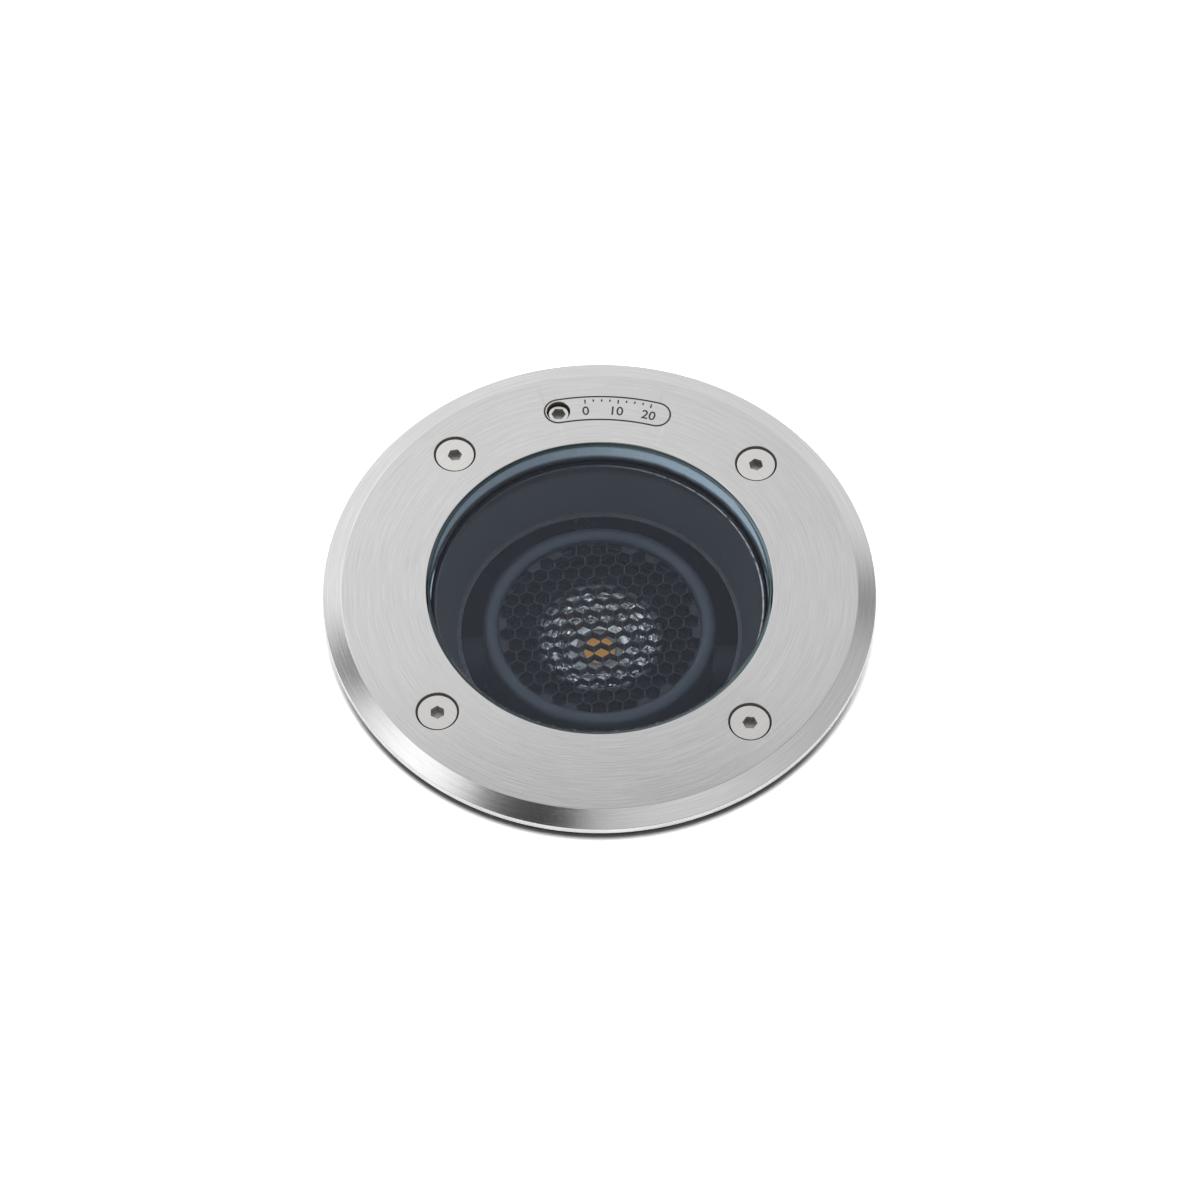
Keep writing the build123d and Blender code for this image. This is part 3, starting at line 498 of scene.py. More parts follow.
field = {
    "circle": 66.4 * mm,
    "halfWidth": 4.4 * mm,
    "halfAngle": 13.4,
    "line": 0.58 * mm,
    "depth": 0.25 * mm,
    "overlap": 0.15,
    "longSteps": 48,
    "endSteps": 28,
    "hole": 3.7 * mm,
    "holeBreak": 0.25 * mm,
    "holeEdge": (0.15 * mm, 0.1 * mm),
    "numbers": [("0", 96.0), ("10", 87.6), ("20", 78.6)],
    "digitHeight": 3.3 * mm,
    "digitShare": 0.72,
    "bolder": 0.06 * mm,
    "tickLong": 1.5 * mm,
    "tickShort": 0.9 * mm,
    "tickWidth": 0.46 * mm,
    "tickCount": 9,
    "tickEvery": 4,
    "tickCircle": 69.0 * mm,
    "digitCircle": 65.3 * mm,
}
ring = {
    "radius": 85.0 * mm,
    "rim": 2.15 * mm,
    "chamfer": 5.7 * mm,
    "bore": 53.25 * mm,
    "edge": 0.22 * mm,
    "steps": 288,
    "screwCircle": 66.6 * mm,
    "screwCount": 4,
    "sinkRadius": 6.6 * mm,
    "clearRadius": 3.3 * mm,
    "sinkBelowTop": 0.6 * mm,
    "sinkBreak": 0.2 * mm,
    "sinkEdge": (0.12 * mm, 0.08 * mm),
}
screw = {
    "head": 6.0 * mm,
    "land": 0.3 * mm,
    "shank": 3.0 * mm,
    "length": 16.0 * mm,
    "tip": 0.6 * mm,
    "edge": 0.16 * mm,
    "sink": 0.62 * mm,
    "socket": 4.0 * mm,
    "socketDepth": 2.3 * mm,
    "turns": (12.0, 41.0, 5.0, 27.0),
}
spindle = {"radius": 3.05 * mm, "sink": 1.5 * mm}
cup = {
    "rim": 50.3 * mm,
    "flange": 53.0 * mm,
    "throat": 44.5 * mm,
    "lip": 1.3 * mm,
    "sheet": 1.0 * mm,
    "edge": 0.18 * mm,
}
window = {"radius": 52.75 * mm, "arris": 0.8 * mm}
fieldEnd = math.radians(90 + field["halfAngle"])
adjusterPlace = (field["circle"] * math.cos(fieldEnd), field["circle"] * math.sin(fieldEnd))


def onCircle(radius, degrees):
    angle = math.radians(degrees)
    return (radius * math.cos(angle), radius * math.sin(angle))


def screwSpots():
    turn = 360 / ring["screwCount"]
    return [onCircle(ring["screwCircle"], turn * (i + 0.5)) for i in range(ring["screwCount"])]


brushing = {
    "fineShare": 0.74,
    "broadLength": 0.6,
    "broadWidth": 0.32,
    "cloud": 24.0,
    "streakShade": (0.90, 1.04),
    "cloudShade": (0.985, 1.01),
    "toneSpread": (0.86, 1.05),
    "roughSpread": (0.82, 1.25),
    "cloudRough": (-0.02, 0.03),
}


def brushedSteel(name, tone, rough, look):
    # grain that runs slowly round the axis and quickly along the radius
    paint = newPaint(name)
    x, y, z, radius = paint.parted()

    def grain(length, width):
        away = radius + 1e-6
        return paint.vector(x / away * length, y / away * length, radius * width)

    length, width = look["grainLength"], look["grainWidth"]
    fine = paint.noise(grain(length, width), 1.0, 4.0, 0.65)
    length, width = length * brushing["broadLength"], width * brushing["broadWidth"]
    broad = paint.noise(grain(length, width), 1.0, 3.0, 0.6)
    cloud = paint.noise(paint.place(), brushing["cloud"], 3.0, 0.6)
    streak = fine * brushing["fineShare"] + broad * (1.0 - brushing["fineShare"])
    shade = streak.ramp(0.30, 0.72, *brushing["streakShade"])
    shade = shade * cloud.ramp(0.25, 0.75, *brushing["cloudShade"])
    dark, light = brushing["toneSpread"]
    colour = paint.mix(shade.ramp(0.88, 1.06), scaled(tone, dark), scaled(tone, light))
    smoother, rougher = brushing["roughSpread"]
    roughness = streak.ramp(0.3, 0.7, rough * smoother, rough * rougher)
    roughness = roughness + cloud.ramp(0.3, 0.8, *brushing["cloudRough"])
    return paint, colour, roughness, paint.bump(streak, look["relief"])


ringFinish = {
    "grainLength": 5.0,
    "grainWidth": 7000.0,
    "rough": 0.14,
    "relief": 0.018 * mm,
    # the dark stain in the engraved lines, within a box round the field
    "skin": 0.06 * mm,
    "below": 0.05 * mm,
    "holeMargin": 0.15 * mm,
    "fieldReach": 21.4 * mm,
    "fieldFrom": 50.0 * mm,
    # and painted shade down the walls of the holes
    "sinkMargin": 0.1 * mm,
    "wallShadeDepth": (0.40 * mm, 0.05 * mm),
    "wallShadeShare": 0.97,
    "darkenedRough": 0.35,
}


def ringMaterial(look):
    paint, colour, roughness, normal = brushedSteel("brushedStainless", tones["steel"], look["rough"], look)
    x, y, z, radius = paint.parted()
    top = ringHigh[2]
    sunk = (z < top - look["skin"]) * (z > top - field["depth"] - look["below"])
    half = field["halfWidth"] + field["line"]
    inBand = (radius > field["circle"] - half) * (radius < field["circle"] + half)
    toHole = ((x - adjusterPlace[0]).power(2.0) + (y - adjusterPlace[1]).power(2.0)).power(0.5)
    offHole = toHole > field["hole"] + look["holeMargin"]
    nearField = (x.size() < look["fieldReach"]) * (y > look["fieldFrom"])
    engraved = sunk * inBand * offHole * nearField
    # painted shade: the walls of the screw counterbores and the adjuster hole darken further down
    spot = ring["screwCircle"] * math.sqrt(0.5)
    toScrew = ((x.size() - spot).power(2.0) + (y.size() - spot).power(2.0)).power(0.5)
    inHole = (toScrew < ring["sinkRadius"] + look["sinkMargin"]).maths("MAXIMUM", 1.0 - offHole)
    deep, shallow = look["wallShadeDepth"]
    wall = inHole * z.ramp(top - deep, top - shallow, 1.0, 0.0)
    # the engraving's dark stain together with the painted shade on the hole walls
    darkened = engraved.maths("MAXIMUM", wall * look["wallShadeShare"])
    shader = paint.principled(
        color=paint.mix(darkened, colour, tones["engravingAndShade"]),
        metallic=1.0 - darkened,
        roughness=roughness + darkened * look["darkenedRough"],
        normal=normal,
    )
    return paint.surface(shader)


headFinish = {
    "grainLength": 3.0,
    "grainWidth": 15000.0,
    "relief": 0.006 * mm,
    # painted shade along the seam: inwards from the rim, and down the flank
    "seamShade": (0.30 * mm, 0.12 * mm),
    "seamShadeDepth": (0.30 * mm, 0.02 * mm),
    # and a shadow in the socket: down from the top, and out from the middle
    "socketDepth": (0.90 * mm, 0.12 * mm),
    "socketReach": (2.2 * mm, 2.6 * mm),
    "socketDark": 0.55,
    "headReach": 7.0 * mm,
    "shadeDull": 0.6,
}


def headMaterial(name, rough, headTop, spots, headRadius, look):
    # faced screw heads with painted shade below the rim and in the socket
    paint, colour, roughness, normal = brushedSteel(name, tones["screwSteel"], rough, look)
    x, y, z = paint.parts(paint.place())
    away = None
    for spotX, spotY in spots:
        reach = ((x - spotX).power(2.0) + (y - spotY).power(2.0)).power(0.5)
        away = reach if away is None else away.maths("MINIMUM", reach)
    # painted shade: the gap between each head and its hole is darkened
    wide, narrow = look["seamShade"]
    deep, shallow = look["seamShadeDepth"]
    flankShade = away.ramp(headRadius - wide, headRadius - narrow)
    flankShade = flankShade * z.ramp(headTop - deep, headTop - shallow, 1.0, 0.0)
    deep, shallow = look["socketDepth"]
    socket = z.ramp(headTop - deep, headTop - shallow, 1.0, 0.0)
    socket = socket * away.ramp(*look["socketReach"], 1.0, 0.0) * look["socketDark"]
    darkened = flankShade.maths("MAXIMUM", socket) * (z > headTop - look["headReach"])
    shader = paint.principled(
        color=paint.mix(darkened, colour, tones["engravingAndShade"]),
        metallic=1.0 - darkened * look["shadeDull"],
        roughness=roughness,
        normal=normal,
    )
    return paint.surface(shader)


glassFinish = {
    "ior": 1.45,
    "edgeDepth": 0.45 * mm,
    "edgeRough": 0.50,
    # painted light: the ground edge glows with its own tone
    "edgePaintedGlow": 0.30,
    "haze": 900.0,
    "hazeShade": (0.85, 1.0),
    # the shadow of the seal at the foot of the edge, uneven on one side
    "foot": 3.4 * mm,
    "footShade": (0.02, 1.0),
    "uneven": 2.6,
    "unevenDepth": 3.2 * mm,
    "unevenFrom": (0.0, 30.0 * mm),
    # painted shade that darkens the upper edge, with a green lip
    "upper": (4.2 * mm, 1.0 * mm),
    "upperShade": (1.0, 0.34),
    "lip": (3.0 * mm, 0.9 * mm),
    # painted shade, darker towards the left side
    "side": (-0.6, 0.8),
    "sideShade": (0.42, 1.0),
}


def glassMaterial(radiusOut, top, bottom, look):
    # polished faces, with a finely ground upright edge that shows blue green and glows with painted light
    paint = newPaint("windowGlass")
    x, y, z, radius = paint.parted()
    edge = radius > radiusOut - look["edgeDepth"]
    haze = paint.noise(paint.place(), look["haze"], 3.0, 0.6)
    around = paint.vector(x / radius * look["uneven"], y / radius * look["uneven"], 0.0)
    uneven = (paint.noise(around, 1.0, 5.0, 0.7) - 0.5) * look["unevenDepth"]
    foot = (z + uneven * x.ramp(*look["unevenFrom"])).ramp(bottom, bottom + look["foot"], *look["footShade"])
    low, high = look["upper"]
    upper = z.ramp(top - low, top - high, *look["upperShade"])
    low, high = look["side"]
    side = x.ramp(low * radiusOut, high * radiusOut, *look["sideShade"])
    low, high = look["lip"]
    tint = paint.mix(z.ramp(top - low, top - high), tones["glassEdge"], tones["glassLip"])
    # painted shadow at the foot and painted shade at the top and the left, with random haze
    shade = foot * upper * side * haze.ramp(0.25, 0.75, *look["hazeShade"])
    tint = paint.mix(shade, tones["glassShadow"], tint)
    ground = paint.principled(color=tint, roughness=look["edgeRough"], emission=tint, glow=look["edgePaintedGlow"])
    clear = paint.principled(
        color=tones["glass"], roughness=0.0, ior=look["ior"], transmission=1.0,
        specularTint=(*tones["glassSheen"], 1.0),
    )
    return paint.surface(paint.add("ShaderNodeMixShader", {}, {0: edge, 1: clear, 2: ground}))


mirrorFinish = {
    "cells": 950.0,
    "grain": 2600.0,
    "grainDark": 0.93,
    # from the bowl's smooth middle to its facets, and from its rim to the dark flange
    "facetsFrom": (9.5 * mm, 14.0 * mm),
    "facetHeight": (0.08, 0.48),
    "grainHeight": 0.03,
    "flangeFrom": (16.0 * mm, 20.5 * mm),
    "rough": (0.12, 0.18),
    "facetGloss": 0.06,
    "flangeRough": 0.3,
}


def mirrorMaterial(look):
    # a bright bowl with small leaning facets
    paint = newPaint("hammeredMirror")
    place = paint.place()
    pick = paint.add(
        "ShaderNodeTexVoronoi", {"feature": "F1"}, {"Vector": place, "Scale": look["cells"]}, output="Color"
    )
    lean = paint.add(
        "ShaderNodeVectorMath", {"operation": "SUBTRACT"}, {0: pick, 1: (0.5, 0.5, 0.5)}, output="Vector"
    )
    slope = paint.add(
        "ShaderNodeVectorMath", {"operation": "DOT_PRODUCT"}, {0: lean, 1: place}, output="Value"
    )
    fine = paint.noise(place, look["grain"], 2.0)
    x, y, z, radius = paint.parted()
    flange = radius.ramp(*look["flangeFrom"])
    outer = radius.ramp(*look["facetsFrom"], *look["facetHeight"])
    colour = paint.mix(fine.ramp(0.35, 0.65), scaled(tones["mirror"], look["grainDark"]), tones["mirror"])
    roughness = fine.ramp(0.2, 0.8, *look["rough"]) - outer * look["facetGloss"]
    roughness = roughness + flange * look["flangeRough"]
    shader = paint.principled(
        color=paint.mix(flange, colour, tones["foil"]),
        metallic=1.0,
        roughness=roughness,
        normal=paint.bump(slope / mm * outer + fine * look["grainHeight"], mm),
    )
    return paint.surface(shader)


cupFinish = {
    "grain": 2400.0,
    "relief": 0.003 * mm,
    "rough": (0.50, 0.62),
    # painted highlights, as bright bare metal along the upper rim and the lower lip: their width and their
    # depth
    "rimHighlight": (0.42 * mm, 0.22 * mm),
    "lipHighlight": (0.22 * mm, 0.20 * mm),
    "lipHighlightShare": 0.16,
    "patches": 330.0,
    "highlightFacing": (0.85, 0.53),
    "highlightFrom": (0.40, 0.90),
    "highlightShare": (0.06, 1.0),
    "highlightMetallic": 0.9,
    "highlightGloss": 0.25,
}


def cupMaterial(look):
    # a matt coat with painted highlights, as bright bare metal, along the two thin edges
    paint = newPaint("cupFinish")
    x, y, z, radius = paint.parted()
    fine = paint.noise(paint.place(), look["grain"], 4.0, 0.6)
    patches = paint.noise(paint.place(), look["patches"], 4.0, 0.7)
    colour = paint.varied(fine, tones["cup"], 0.84, 1.16)
    width, depth = look["rimHighlight"]
    rim = (radius < cup["rim"] + width) * (z > cupHigh[2] - depth)
    width, depth = look["lipHighlight"]
    lip = (radius < cup["throat"] - cup["lip"] + width) * (z > cupLow[2] + cup["sheet"] - depth)
    # the rim's painted highlight shows only on the side where the light falls
    facingX, facingY = look["highlightFacing"]
    low, high = look["highlightFrom"]
    side = (x * facingX + y * facingY).ramp(low * cup["rim"], high * cup["rim"], *look["highlightShare"])
    paintedHighlight = (rim * side).maths("MAXIMUM", lip * look["lipHighlightShare"]) * patches.ramp(0.30, 0.50)
    shader = paint.principled(
        color=paint.mix(paintedHighlight, colour, tones["cupHighlight"]),
        metallic=paintedHighlight * look["highlightMetallic"],
        roughness=fine.ramp(0.3, 0.7, *look["rough"]) - paintedHighlight * look["highlightGloss"],
        normal=paint.bump(fine, look["relief"]),
    )
    return paint.surface(shader)


lampFinish = {
    "grain": 3200.0,
    "relief": 0.004 * mm,
    "rough": (0.38, 0.46),
    "metallic": 0.3,
    "throat": 31.2 * mm,
    "body": 37.0 * mm,
    "floor": -60.0 * mm,
    "insideRough": 0.3,
}


def lampMaterial(look):
    # satin black coat, dead matt inside the head
    paint = newPaint("lampBlack")
    x, y, z, radius = paint.parted()
    fine = paint.noise(paint.place(), look["grain"], 4.0, 0.6)
    lug = radius > look["body"]
    inside = (radius < look["throat"]).maths("MAXIMUM", lug) * (z > look["floor"])
    matt = paint.mix(lug, tones["lampInside"], tones["lug"])
    shader = paint.principled(
        color=paint.mix(inside, paint.varied(fine, tones["lamp"], 0.9, 1.1), matt),
        metallic=look["metallic"] - inside * look["metallic"],
        roughness=fine.ramp(0.3, 0.7, *look["rough"]) + inside * look["insideRough"],
        normal=paint.bump(fine, look["relief"]),
    )
    return paint.surface(shader)


foilFinish = {
    "grain": 1800.0,
    "relief": 0.006 * mm,
    "rough": (0.32, 0.44),
    "metallic": 0.5,
    "highlightDepth": 0.06 * mm,
}


def foilMaterial(look):
    # dark honeycomb foil with paler top edges, a painted highlight
    paint = newPaint("louverFoil")
    x, y, z = paint.parts(paint.place())
    fine = paint.noise(paint.place(), look["grain"], 4.0, 0.6)
    # painted highlight: the top edges of the foil are made paler
    paintedTopHighlight = z > louverHigh[2] - look["highlightDepth"]
    shader = paint.principled(
        color=paint.mix(paintedTopHighlight, paint.varied(fine, tones["foil"], 0.7, 1.3), tones["foilTopHighlight"]),
        metallic=look["metallic"],
        roughness=fine.ramp(0.3, 0.7, *look["rough"]),
        normal=paint.bump(fine, look["relief"]),
    )
    return paint.surface(shader)


gelFinish = {
    "grain": 5200.0,
    "relief": 0.02 * mm,
    "rough": 0.42,
    # painted light: a faint glow on the unlit gel
    "glow": 0.26,
    "frameFrom": (4.7 * mm, 4.9 * mm),
}


def gelMaterial(look):
    # the orange gel in its grey frame, with a faint painted glow though the LED is off
    paint = newPaint("phosphorGel")
    x, y, z, radius = paint.parted()
    grain = paint.noise(paint.place(), look["grain"], 3.0)
    colour = paint.varied(grain, tones["phosphor"], 0.86, 1.0)
    colour = paint.mix(radius.ramp(*look["frameFrom"]), colour, tones["frame"])
    shader = paint.principled(
        color=colour, roughness=look["rough"], normal=paint.bump(grain, look["relief"]),
        emission=colour, glow=look["glow"],
    )
    return paint.surface(shader)


coats = {
    # tone, roughness, grain, depth of relief, metallic, how much the tone varies
    "screwSteel": ("screwSteel", 0.26, 2600.0, 0.004 * mm, 1.0, 0.05),
    "blackRubber": ("rubber", 0.62, 1400.0, 0.01 * mm, 0.0, 0.25),
    "powderCoat": ("powder", 0.50, 1500.0, 0.05 * mm, 0.0, 0.22),
    "nickelPlate": ("nickel", 0.24, 2200.0, 0.004 * mm, 1.0, 0.05),
    "zincSheet": ("zinc", 0.42, 700.0, 0.006 * mm, 0.8, 0.14),
    "bronzeTurned": ("bronze", 0.30, 2600.0, 0.005 * mm, 1.0, 0.08),
    "whitePlastic": ("whitePlastic", 0.45, 1900.0, 0.006 * mm, 0.0, 0.03),
    "blackPlastic": ("blackPlastic", 0.46, 1700.0, 0.02 * mm, 0.0, 0.2),
    "driverCase": ("driver", 0.42, 1300.0, 0.01 * mm, 0.8, 0.07),
    "padGrey": ("padGrey", 0.75, 1500.0, 0.01 * mm, 0.0, 0.1),
}


def coatMaterial(name):
    # a fine grained coat or moulded skin: colour, roughness and relief all vary a little
    toneName, rough, grain, depth, metallic, speck = coats[name]
    paint = newPaint(name)
    fine = paint.noise(paint.place(), grain, 4.0, 0.6)
    cloud = paint.noise(paint.place(), grain * 0.035, 3.0, 0.55)
    shader = paint.principled(
        color=paint.varied(fine * 0.6 + cloud * 0.4, tones[toneName], 1.0 - speck, 1.0 + speck),
        metallic=metallic,
        roughness=cloud.ramp(0.3, 0.7, rough * 0.88, min(rough * 1.12, 1.0)),
        normal=paint.bump(fine, depth),
    )
    return paint.surface(shader)


steelRing = ringMaterial(ringFinish)
steelHeads = headMaterial(
    "coverScrewSteel", 0.24, ringHigh[2] - screw["sink"], screwSpots(), screw["head"], headFinish
)
steelSpindle = headMaterial(
    "spindleSteel", 0.22, ringHigh[2] - spindle["sink"], [adjusterPlace], spindle["radius"], headFinish
)
cupCoat = cupMaterial(cupFinish)
lampBlack = lampMaterial(lampFinish)
bowlMirror = mirrorMaterial(mirrorFinish)
orangeGel = gelMaterial(gelFinish)
coat = {name: coatMaterial(name) for name in coats}

nodeFinish = {
    "screw_steel": coat["screwSteel"],
    "brushed_stainless": steelRing,
    "black_rubber": coat["blackRubber"],
    "cup_finish": cupCoat,
    "lamp_black": lampBlack,
    "louver_foil": foilMaterial(foilFinish),
    "reflector_metal": bowlMirror,
    "phosphor": orangeGel,
    "housing_paint": coat["powderCoat"],
    "nickel_plate": coat["nickelPlate"],
    "plated_steel": coat["zincSheet"],
    "bronze": coat["bronzeTurned"],
    "white_plastic": coat["whitePlastic"],
    "board_ceramic": coat["whitePlastic"],
    "black_plastic": coat["blackPlastic"],
    "driver_case": coat["driverCase"],
    "pad_grey": coat["padGrey"],
}
for entry in frame["record"]["subparts"]:
    if entry["material_slot"] in nodeFinish:
        for materialSlot in nodes[entry["node"]].material_slots:
            materialSlot.material = nodeFinish[entry["material_slot"]]
nodes["adjusting_spindle"].material_slots[0].material = steelSpindle
print("materials ready")

# the trim ring, with its holes and the engraved field


def barArc(circle, startAngle, sweep, centre, steps):
    # a square bar bent round a centre, from a start angle through a sweep
    deselectAll()
    bpy.ops.mesh.primitive_plane_add(size=1.0, location=(0, 0, 0))
    bar = bpy.context.object
    bar.scale = (field["line"], 2 * field["depth"], 1.0)
    bar.rotation_euler = (math.radians(90), 0.0, 0.0)
    settle(bar)
    bar.location = (circle, 0.0, 0.0)
    settle(bar)
    bar.rotation_euler = (0.0, 0.0, startAngle)
    bar.location = (centre[0], centre[1], ringHigh[2])
    settle(bar)
    bpy.ops.object.mode_set(mode="EDIT")
    bpy.ops.mesh.select_all(action="SELECT")
    for _ in range(steps):
        bpy.ops.mesh.extrude_region_move()
        # this operator counts a turn clockwise
        bpy.ops.transform.rotate(
            value=-sweep / steps, orient_axis="Z", center_override=(centre[0], centre[1], 0.0)
        )
    bpy.ops.mesh.select_all(action="SELECT")
    bpy.ops.mesh.normals_make_consistent(inside=False)
    bpy.ops.object.mode_set(mode="OBJECT")
    return bar


def fieldCutters():
    # the four sides of the curved frame: two long arcs and two rounded ends
    half = math.radians(field["halfAngle"])
    overlap = math.radians(field["overlap"])
    cutters = []
    for circle in (field["circle"] + field["halfWidth"], field["circle"] - field["halfWidth"]):
        start, sweep = math.pi / 2 - half - overlap, 2 * (half + overlap)
        cutters.append(barArc(circle, start, sweep, (0.0, 0.0), field["longSteps"]))
    for side in (-1, 1):
        angle = math.pi / 2 - side * half
        centre = (field["circle"] * math.cos(angle), field["circle"] * math.sin(angle))
        start = angle - math.pi if side > 0 else angle
        cutters.append(barArc(field["halfWidth"], start, math.pi, centre, field["endSteps"]))
    return cutters


def boxCutter(size, place, angle):
    # a small box, turned about the upright
    deselectAll()
    bpy.ops.mesh.primitive_cube_add(size=1.0, location=(0, 0, 0))
    box = bpy.context.object
    box.scale = size
    settle(box)
    box.rotation_euler = (0.0, 0.0, angle)
    box.location = place
    settle(box)
    return box


def digitCutter(text, angle):
    # one number of the scale, its foot towards the axis
    deselectAll()
    bpy.ops.object.text_add(location=(0, 0, 0))
    digits = bpy.context.object
    digits.data.body = text
    digits.data.align_x = "CENTER"
    digits.data.align_y = "CENTER"
    digits.data.size = field["digitHeight"] / field["digitShare"]
    digits.data.extrude = field["depth"]
    digits.data.offset = field["bolder"]
    digits.data.resolution_u = 6
    bpy.ops.object.convert(target="MESH")
    digits = bpy.context.object
    digits.rotation_euler = (0.0, 0.0, math.radians(angle - 90))
    digits.location = (*onCircle(field["digitCircle"], angle), ringHigh[2])
    settle(digits)
    bpy.ops.object.mode_set(mode="EDIT")
    bpy.ops.mesh.select_all(action="SELECT")
    bpy.ops.mesh.remove_doubles(threshold=1e-7)
    bpy.ops.mesh.normals_make_consistent(inside=False)
    bpy.ops.object.mode_set(mode="OBJECT")
    return digits


def makeRing():
    low, top = ringLow[2], ringHigh[2]
    flat = ring["radius"] - ring["chamfer"]
    outline = [
        (ring["bore"], low), (ring["radius"], low), (ring["radius"], low + ring["rim"]),
        (flat, top), (ring["bore"], top),
    ]
    piece = turned("trimRing", outline, ring["steps"], bevel=ring["edge"], segments=3)
    clear, sink, sinkTop = ring["clearRadius"], ring["sinkRadius"], top - ring["sinkBelowTop"]
    broken, (edgeLow, edgeHigh) = sink + ring["sinkBreak"], ring["sinkEdge"]
    for spot in screwSpots():
        outline = [
            (clear, low - mm), (clear, sinkTop - (sink - clear)), (sink, sinkTop),
            (sink, top - edgeLow), (broken, top + edgeHigh), (broken, top + mm),
        ]
        cut(piece, turned("sinkCutter", outline, 72, closed=False, centre=spot))
    hole, broken, (edgeLow, edgeHigh) = field["hole"], field["hole"] + field["holeBreak"], field["holeEdge"]
    outline = [(hole, low - mm), (hole, top - edgeLow), (broken, top + edgeHigh), (broken, top + mm)]
    cut(piece, turned("adjusterCutter", outline, 64, closed=False, centre=adjusterPlace))
    for cutter in fieldCutters():
        cut(piece, cutter)
    for text, angle in field["numbers"]:
        cut(piece, digitCutter(text, angle))
    first, last = field["numbers"][0][1], field["numbers"][-1][1]
    for i in range(field["tickCount"]):
        angle = first + (last - first) * i / (field["tickCount"] - 1)
        length = field["tickLong"] if i % field["tickEvery"] == 0 else field["tickShort"]
        middle = field["tickCircle"] - length / 2 + field["tickLong"] / 2
        size = (length, field["tickWidth"], 2 * field["depth"])
        cut(piece, boxCutter(size, (*onCircle(middle, angle), top), math.radians(angle)))
    smooth(piece, 30.0)
    level(piece)
    return finishPiece(piece, "fixed_housing", "brushed_stainless", steelRing, "trim_ring")


trimRing = makeRing()
print("trim ring ready:", len(trimRing.data.polygons), "faces")

# the four cover screws


def makeScrews():
    joined = []
    top = ringHigh[2] - screw["sink"]
    cone = top - screw["land"]
    neck = cone - (screw["head"] - screw["shank"])
    shank, head, foot = screw["shank"], screw["head"], top - screw["length"]
    for spot, turn in zip(screwSpots(), screw["turns"]):
        outline = [
            (shank * 0.8, foot), (shank, foot + screw["tip"]), (shank, neck), (head, cone), (head, top),
        ]
        piece = turned(
            "coverScrew", outline, 72, closed=False, bevel=screw["edge"], segments=3, centre=spot
        )
        deselectAll()
        bpy.ops.mesh.primitive_cylinder_add(
            vertices=6, radius=screw["socket"] / math.sqrt(3), depth=2 * screw["socketDepth"],
            location=(*spot, top), rotation=(0.0, 0.0, math.radians(turn)),
        )
        socket = bpy.context.object
        settle(socket)
        cut(piece, socket)
        smooth(piece, 30.0)
        joined.append(piece)
    deselectAll()
    for piece in joined:
        piece.select_set(True)
    bpy.context.view_layer.objects.active = joined[0]
    bpy.ops.object.join()
    piece = bpy.context.object
    piece.name = "coverScrews"
    return finishPiece(piece, "fixed_housing", "screw_steel", steelHeads, "cover_screws")


makeScrews()
print("cover screws ready")

# window glass, seal and anti-glare cup


def makeWindow():
    low, top = glassLow[2], glassHigh[2]
    radius, arris = window["radius"], window["arris"]
    outline = [
        (radius - arris, low), (radius, low + arris), (radius, top - arris), (radius - arris, top),
    ]
    piece = turned("windowGlass", outline, 256, closed=False)
    glass = glassMaterial(radius, top, low, glassFinish)
    return finishPiece(piece, "fixed_housing", "clear_glass", glass, "glass_lens")


makeWindow()


def makeCup():
    top, low = cupHigh[2], cupLow[2]
    sheet, rim, flange, throat = cup["sheet"], cup["rim"], cup["flange"], cup["throat"]
    lip = throat - cup["lip"]
    outline = [
        (rim, top), (flange, top), (flange, top - sheet), (rim + sheet, top - sheet),
        (throat + sheet, low), (lip, low), (lip, low + sheet), (throat, low + sheet),
    ]
    piece = turned("baffleCup", outline, 224, bevel=cup["edge"], segments=2)
    return finishPiece(piece, "fixed_housing", "cup_finish", cupCoat, "baffle_cup")


seal = {"inner": 50.8 * mm, "outer": 53.0 * mm, "edge": 0.3 * mm}


def makeSeal():
    top, low = sealHigh[2], sealLow[2]
    inner, outer = seal["inner"], seal["outer"]
    outline = [(inner, low), (outer, low), (outer, top), (inner, top)]
    piece = turned("glassSeal", outline, 224, bevel=seal["edge"], segments=3)
    return finishPiece(piece, "fixed_housing", "black_rubber", coat["blackRubber"], "glass_seal")


makeCup()
makeSeal()
print("window ready")

# the lamp head

bezel = {
    "outer": 36.3 * mm,
    "opening": 31.5 * mm,
    "slope": 1.6 * mm,
    "lip": 0.8 * mm,
    "wall": 2.0 * mm,
    "edge": 0.2 * mm,
    "steps": 14,
}


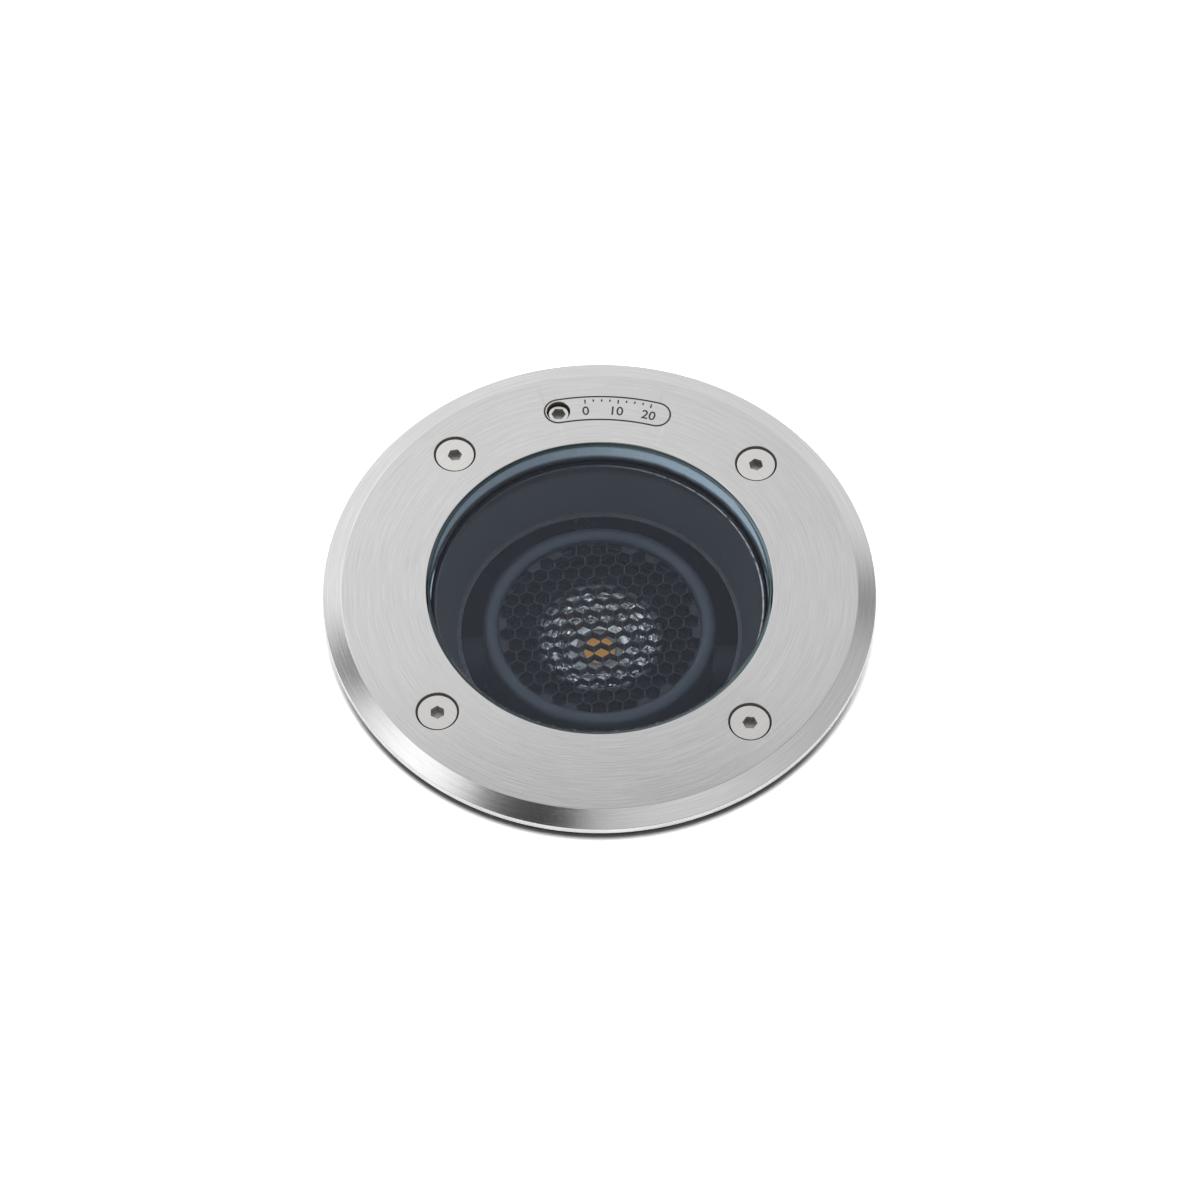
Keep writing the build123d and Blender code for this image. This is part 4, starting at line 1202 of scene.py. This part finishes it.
def makeBezel():
    top, low = bezelHigh[2], bezelLow[2]
    inner = bezel["outer"] - bezel["wall"]
    middle = (bezel["outer"] + bezel["opening"]) / 2
    half = (bezel["outer"] - bezel["opening"]) / 2
    shelf = top - bezel["slope"]
    outline = []
    for i in range(bezel["steps"] + 1):
        angle = math.pi * i / bezel["steps"]
        outline.append((middle + half * math.cos(angle), shelf + bezel["slope"] * math.sin(angle)))
    foot = shelf - bezel["lip"]
    outline += [(bezel["opening"], foot), (inner, foot), (inner, low), (bezel["outer"], low)]
    piece = turned("lampBezel", outline, 192, bevel=bezel["edge"], segments=3)
    return finishPiece(piece, "lamp_head", "lamp_black", lampBlack, "lamp_bezel")


# the bowl rises in steps: each a short riser and a longer tread
bowl = {
    "rim": 18.6 * mm,
    "throat": 7.4 * mm,
    "sheet": 0.8 * mm,
    "flange": 21.2 * mm,
    "rings": 7,
    "riser": 0.35 * mm,
    "tread": 0.10,
    "curve": 1.7,
}


def makeReflector():
    top, low = reflectorHigh[2], reflectorLow[2]
    sheet, throat = bowl["sheet"], bowl["throat"]
    inside = []
    outside = []
    for i in range(bowl["rings"] + 1):
        share = i / bowl["rings"]
        radius = throat + (bowl["rim"] - throat) * share
        height = low + (top - low) * share ** bowl["curve"]
        if i > 0:
            before = inside[-1][1]
            inside.append((radius - bowl["riser"], before + bowl["tread"] * (height - before)))
            outside.insert(0, (radius + sheet * 0.8, height - sheet * 0.5))
        inside.append((radius, height))
    flange = [(bowl["flange"], top), (bowl["flange"], top - sheet)]
    outline = inside + flange + outside + [(throat + sheet, low)]
    piece = turned("reflectorBowl", outline, 128)
    return finishPiece(piece, "lamp_head", "reflector_metal", bowlMirror, "reflector")


# the gel's four radii, with the heights of the two in between from its foot and its top
gel = {"radii": (5.5 * mm, 5.4 * mm, 4.9 * mm, 3.6 * mm), "shoulder": 0.3 * mm, "crown": 0.05 * mm}


def makePhosphor():
    top, low = phosphorHigh[2], phosphorLow[2]
    heights = (low, low + gel["shoulder"], top - gel["crown"], top)
    piece = turned("phosphorDisc", list(zip(gel["radii"], heights)), 96, closed=False)
    return finishPiece(piece, "lamp_head", "phosphor", orangeGel, "led_phosphor")


makeBezel()
makeReflector()
makePhosphor()
print("lamp head ready")
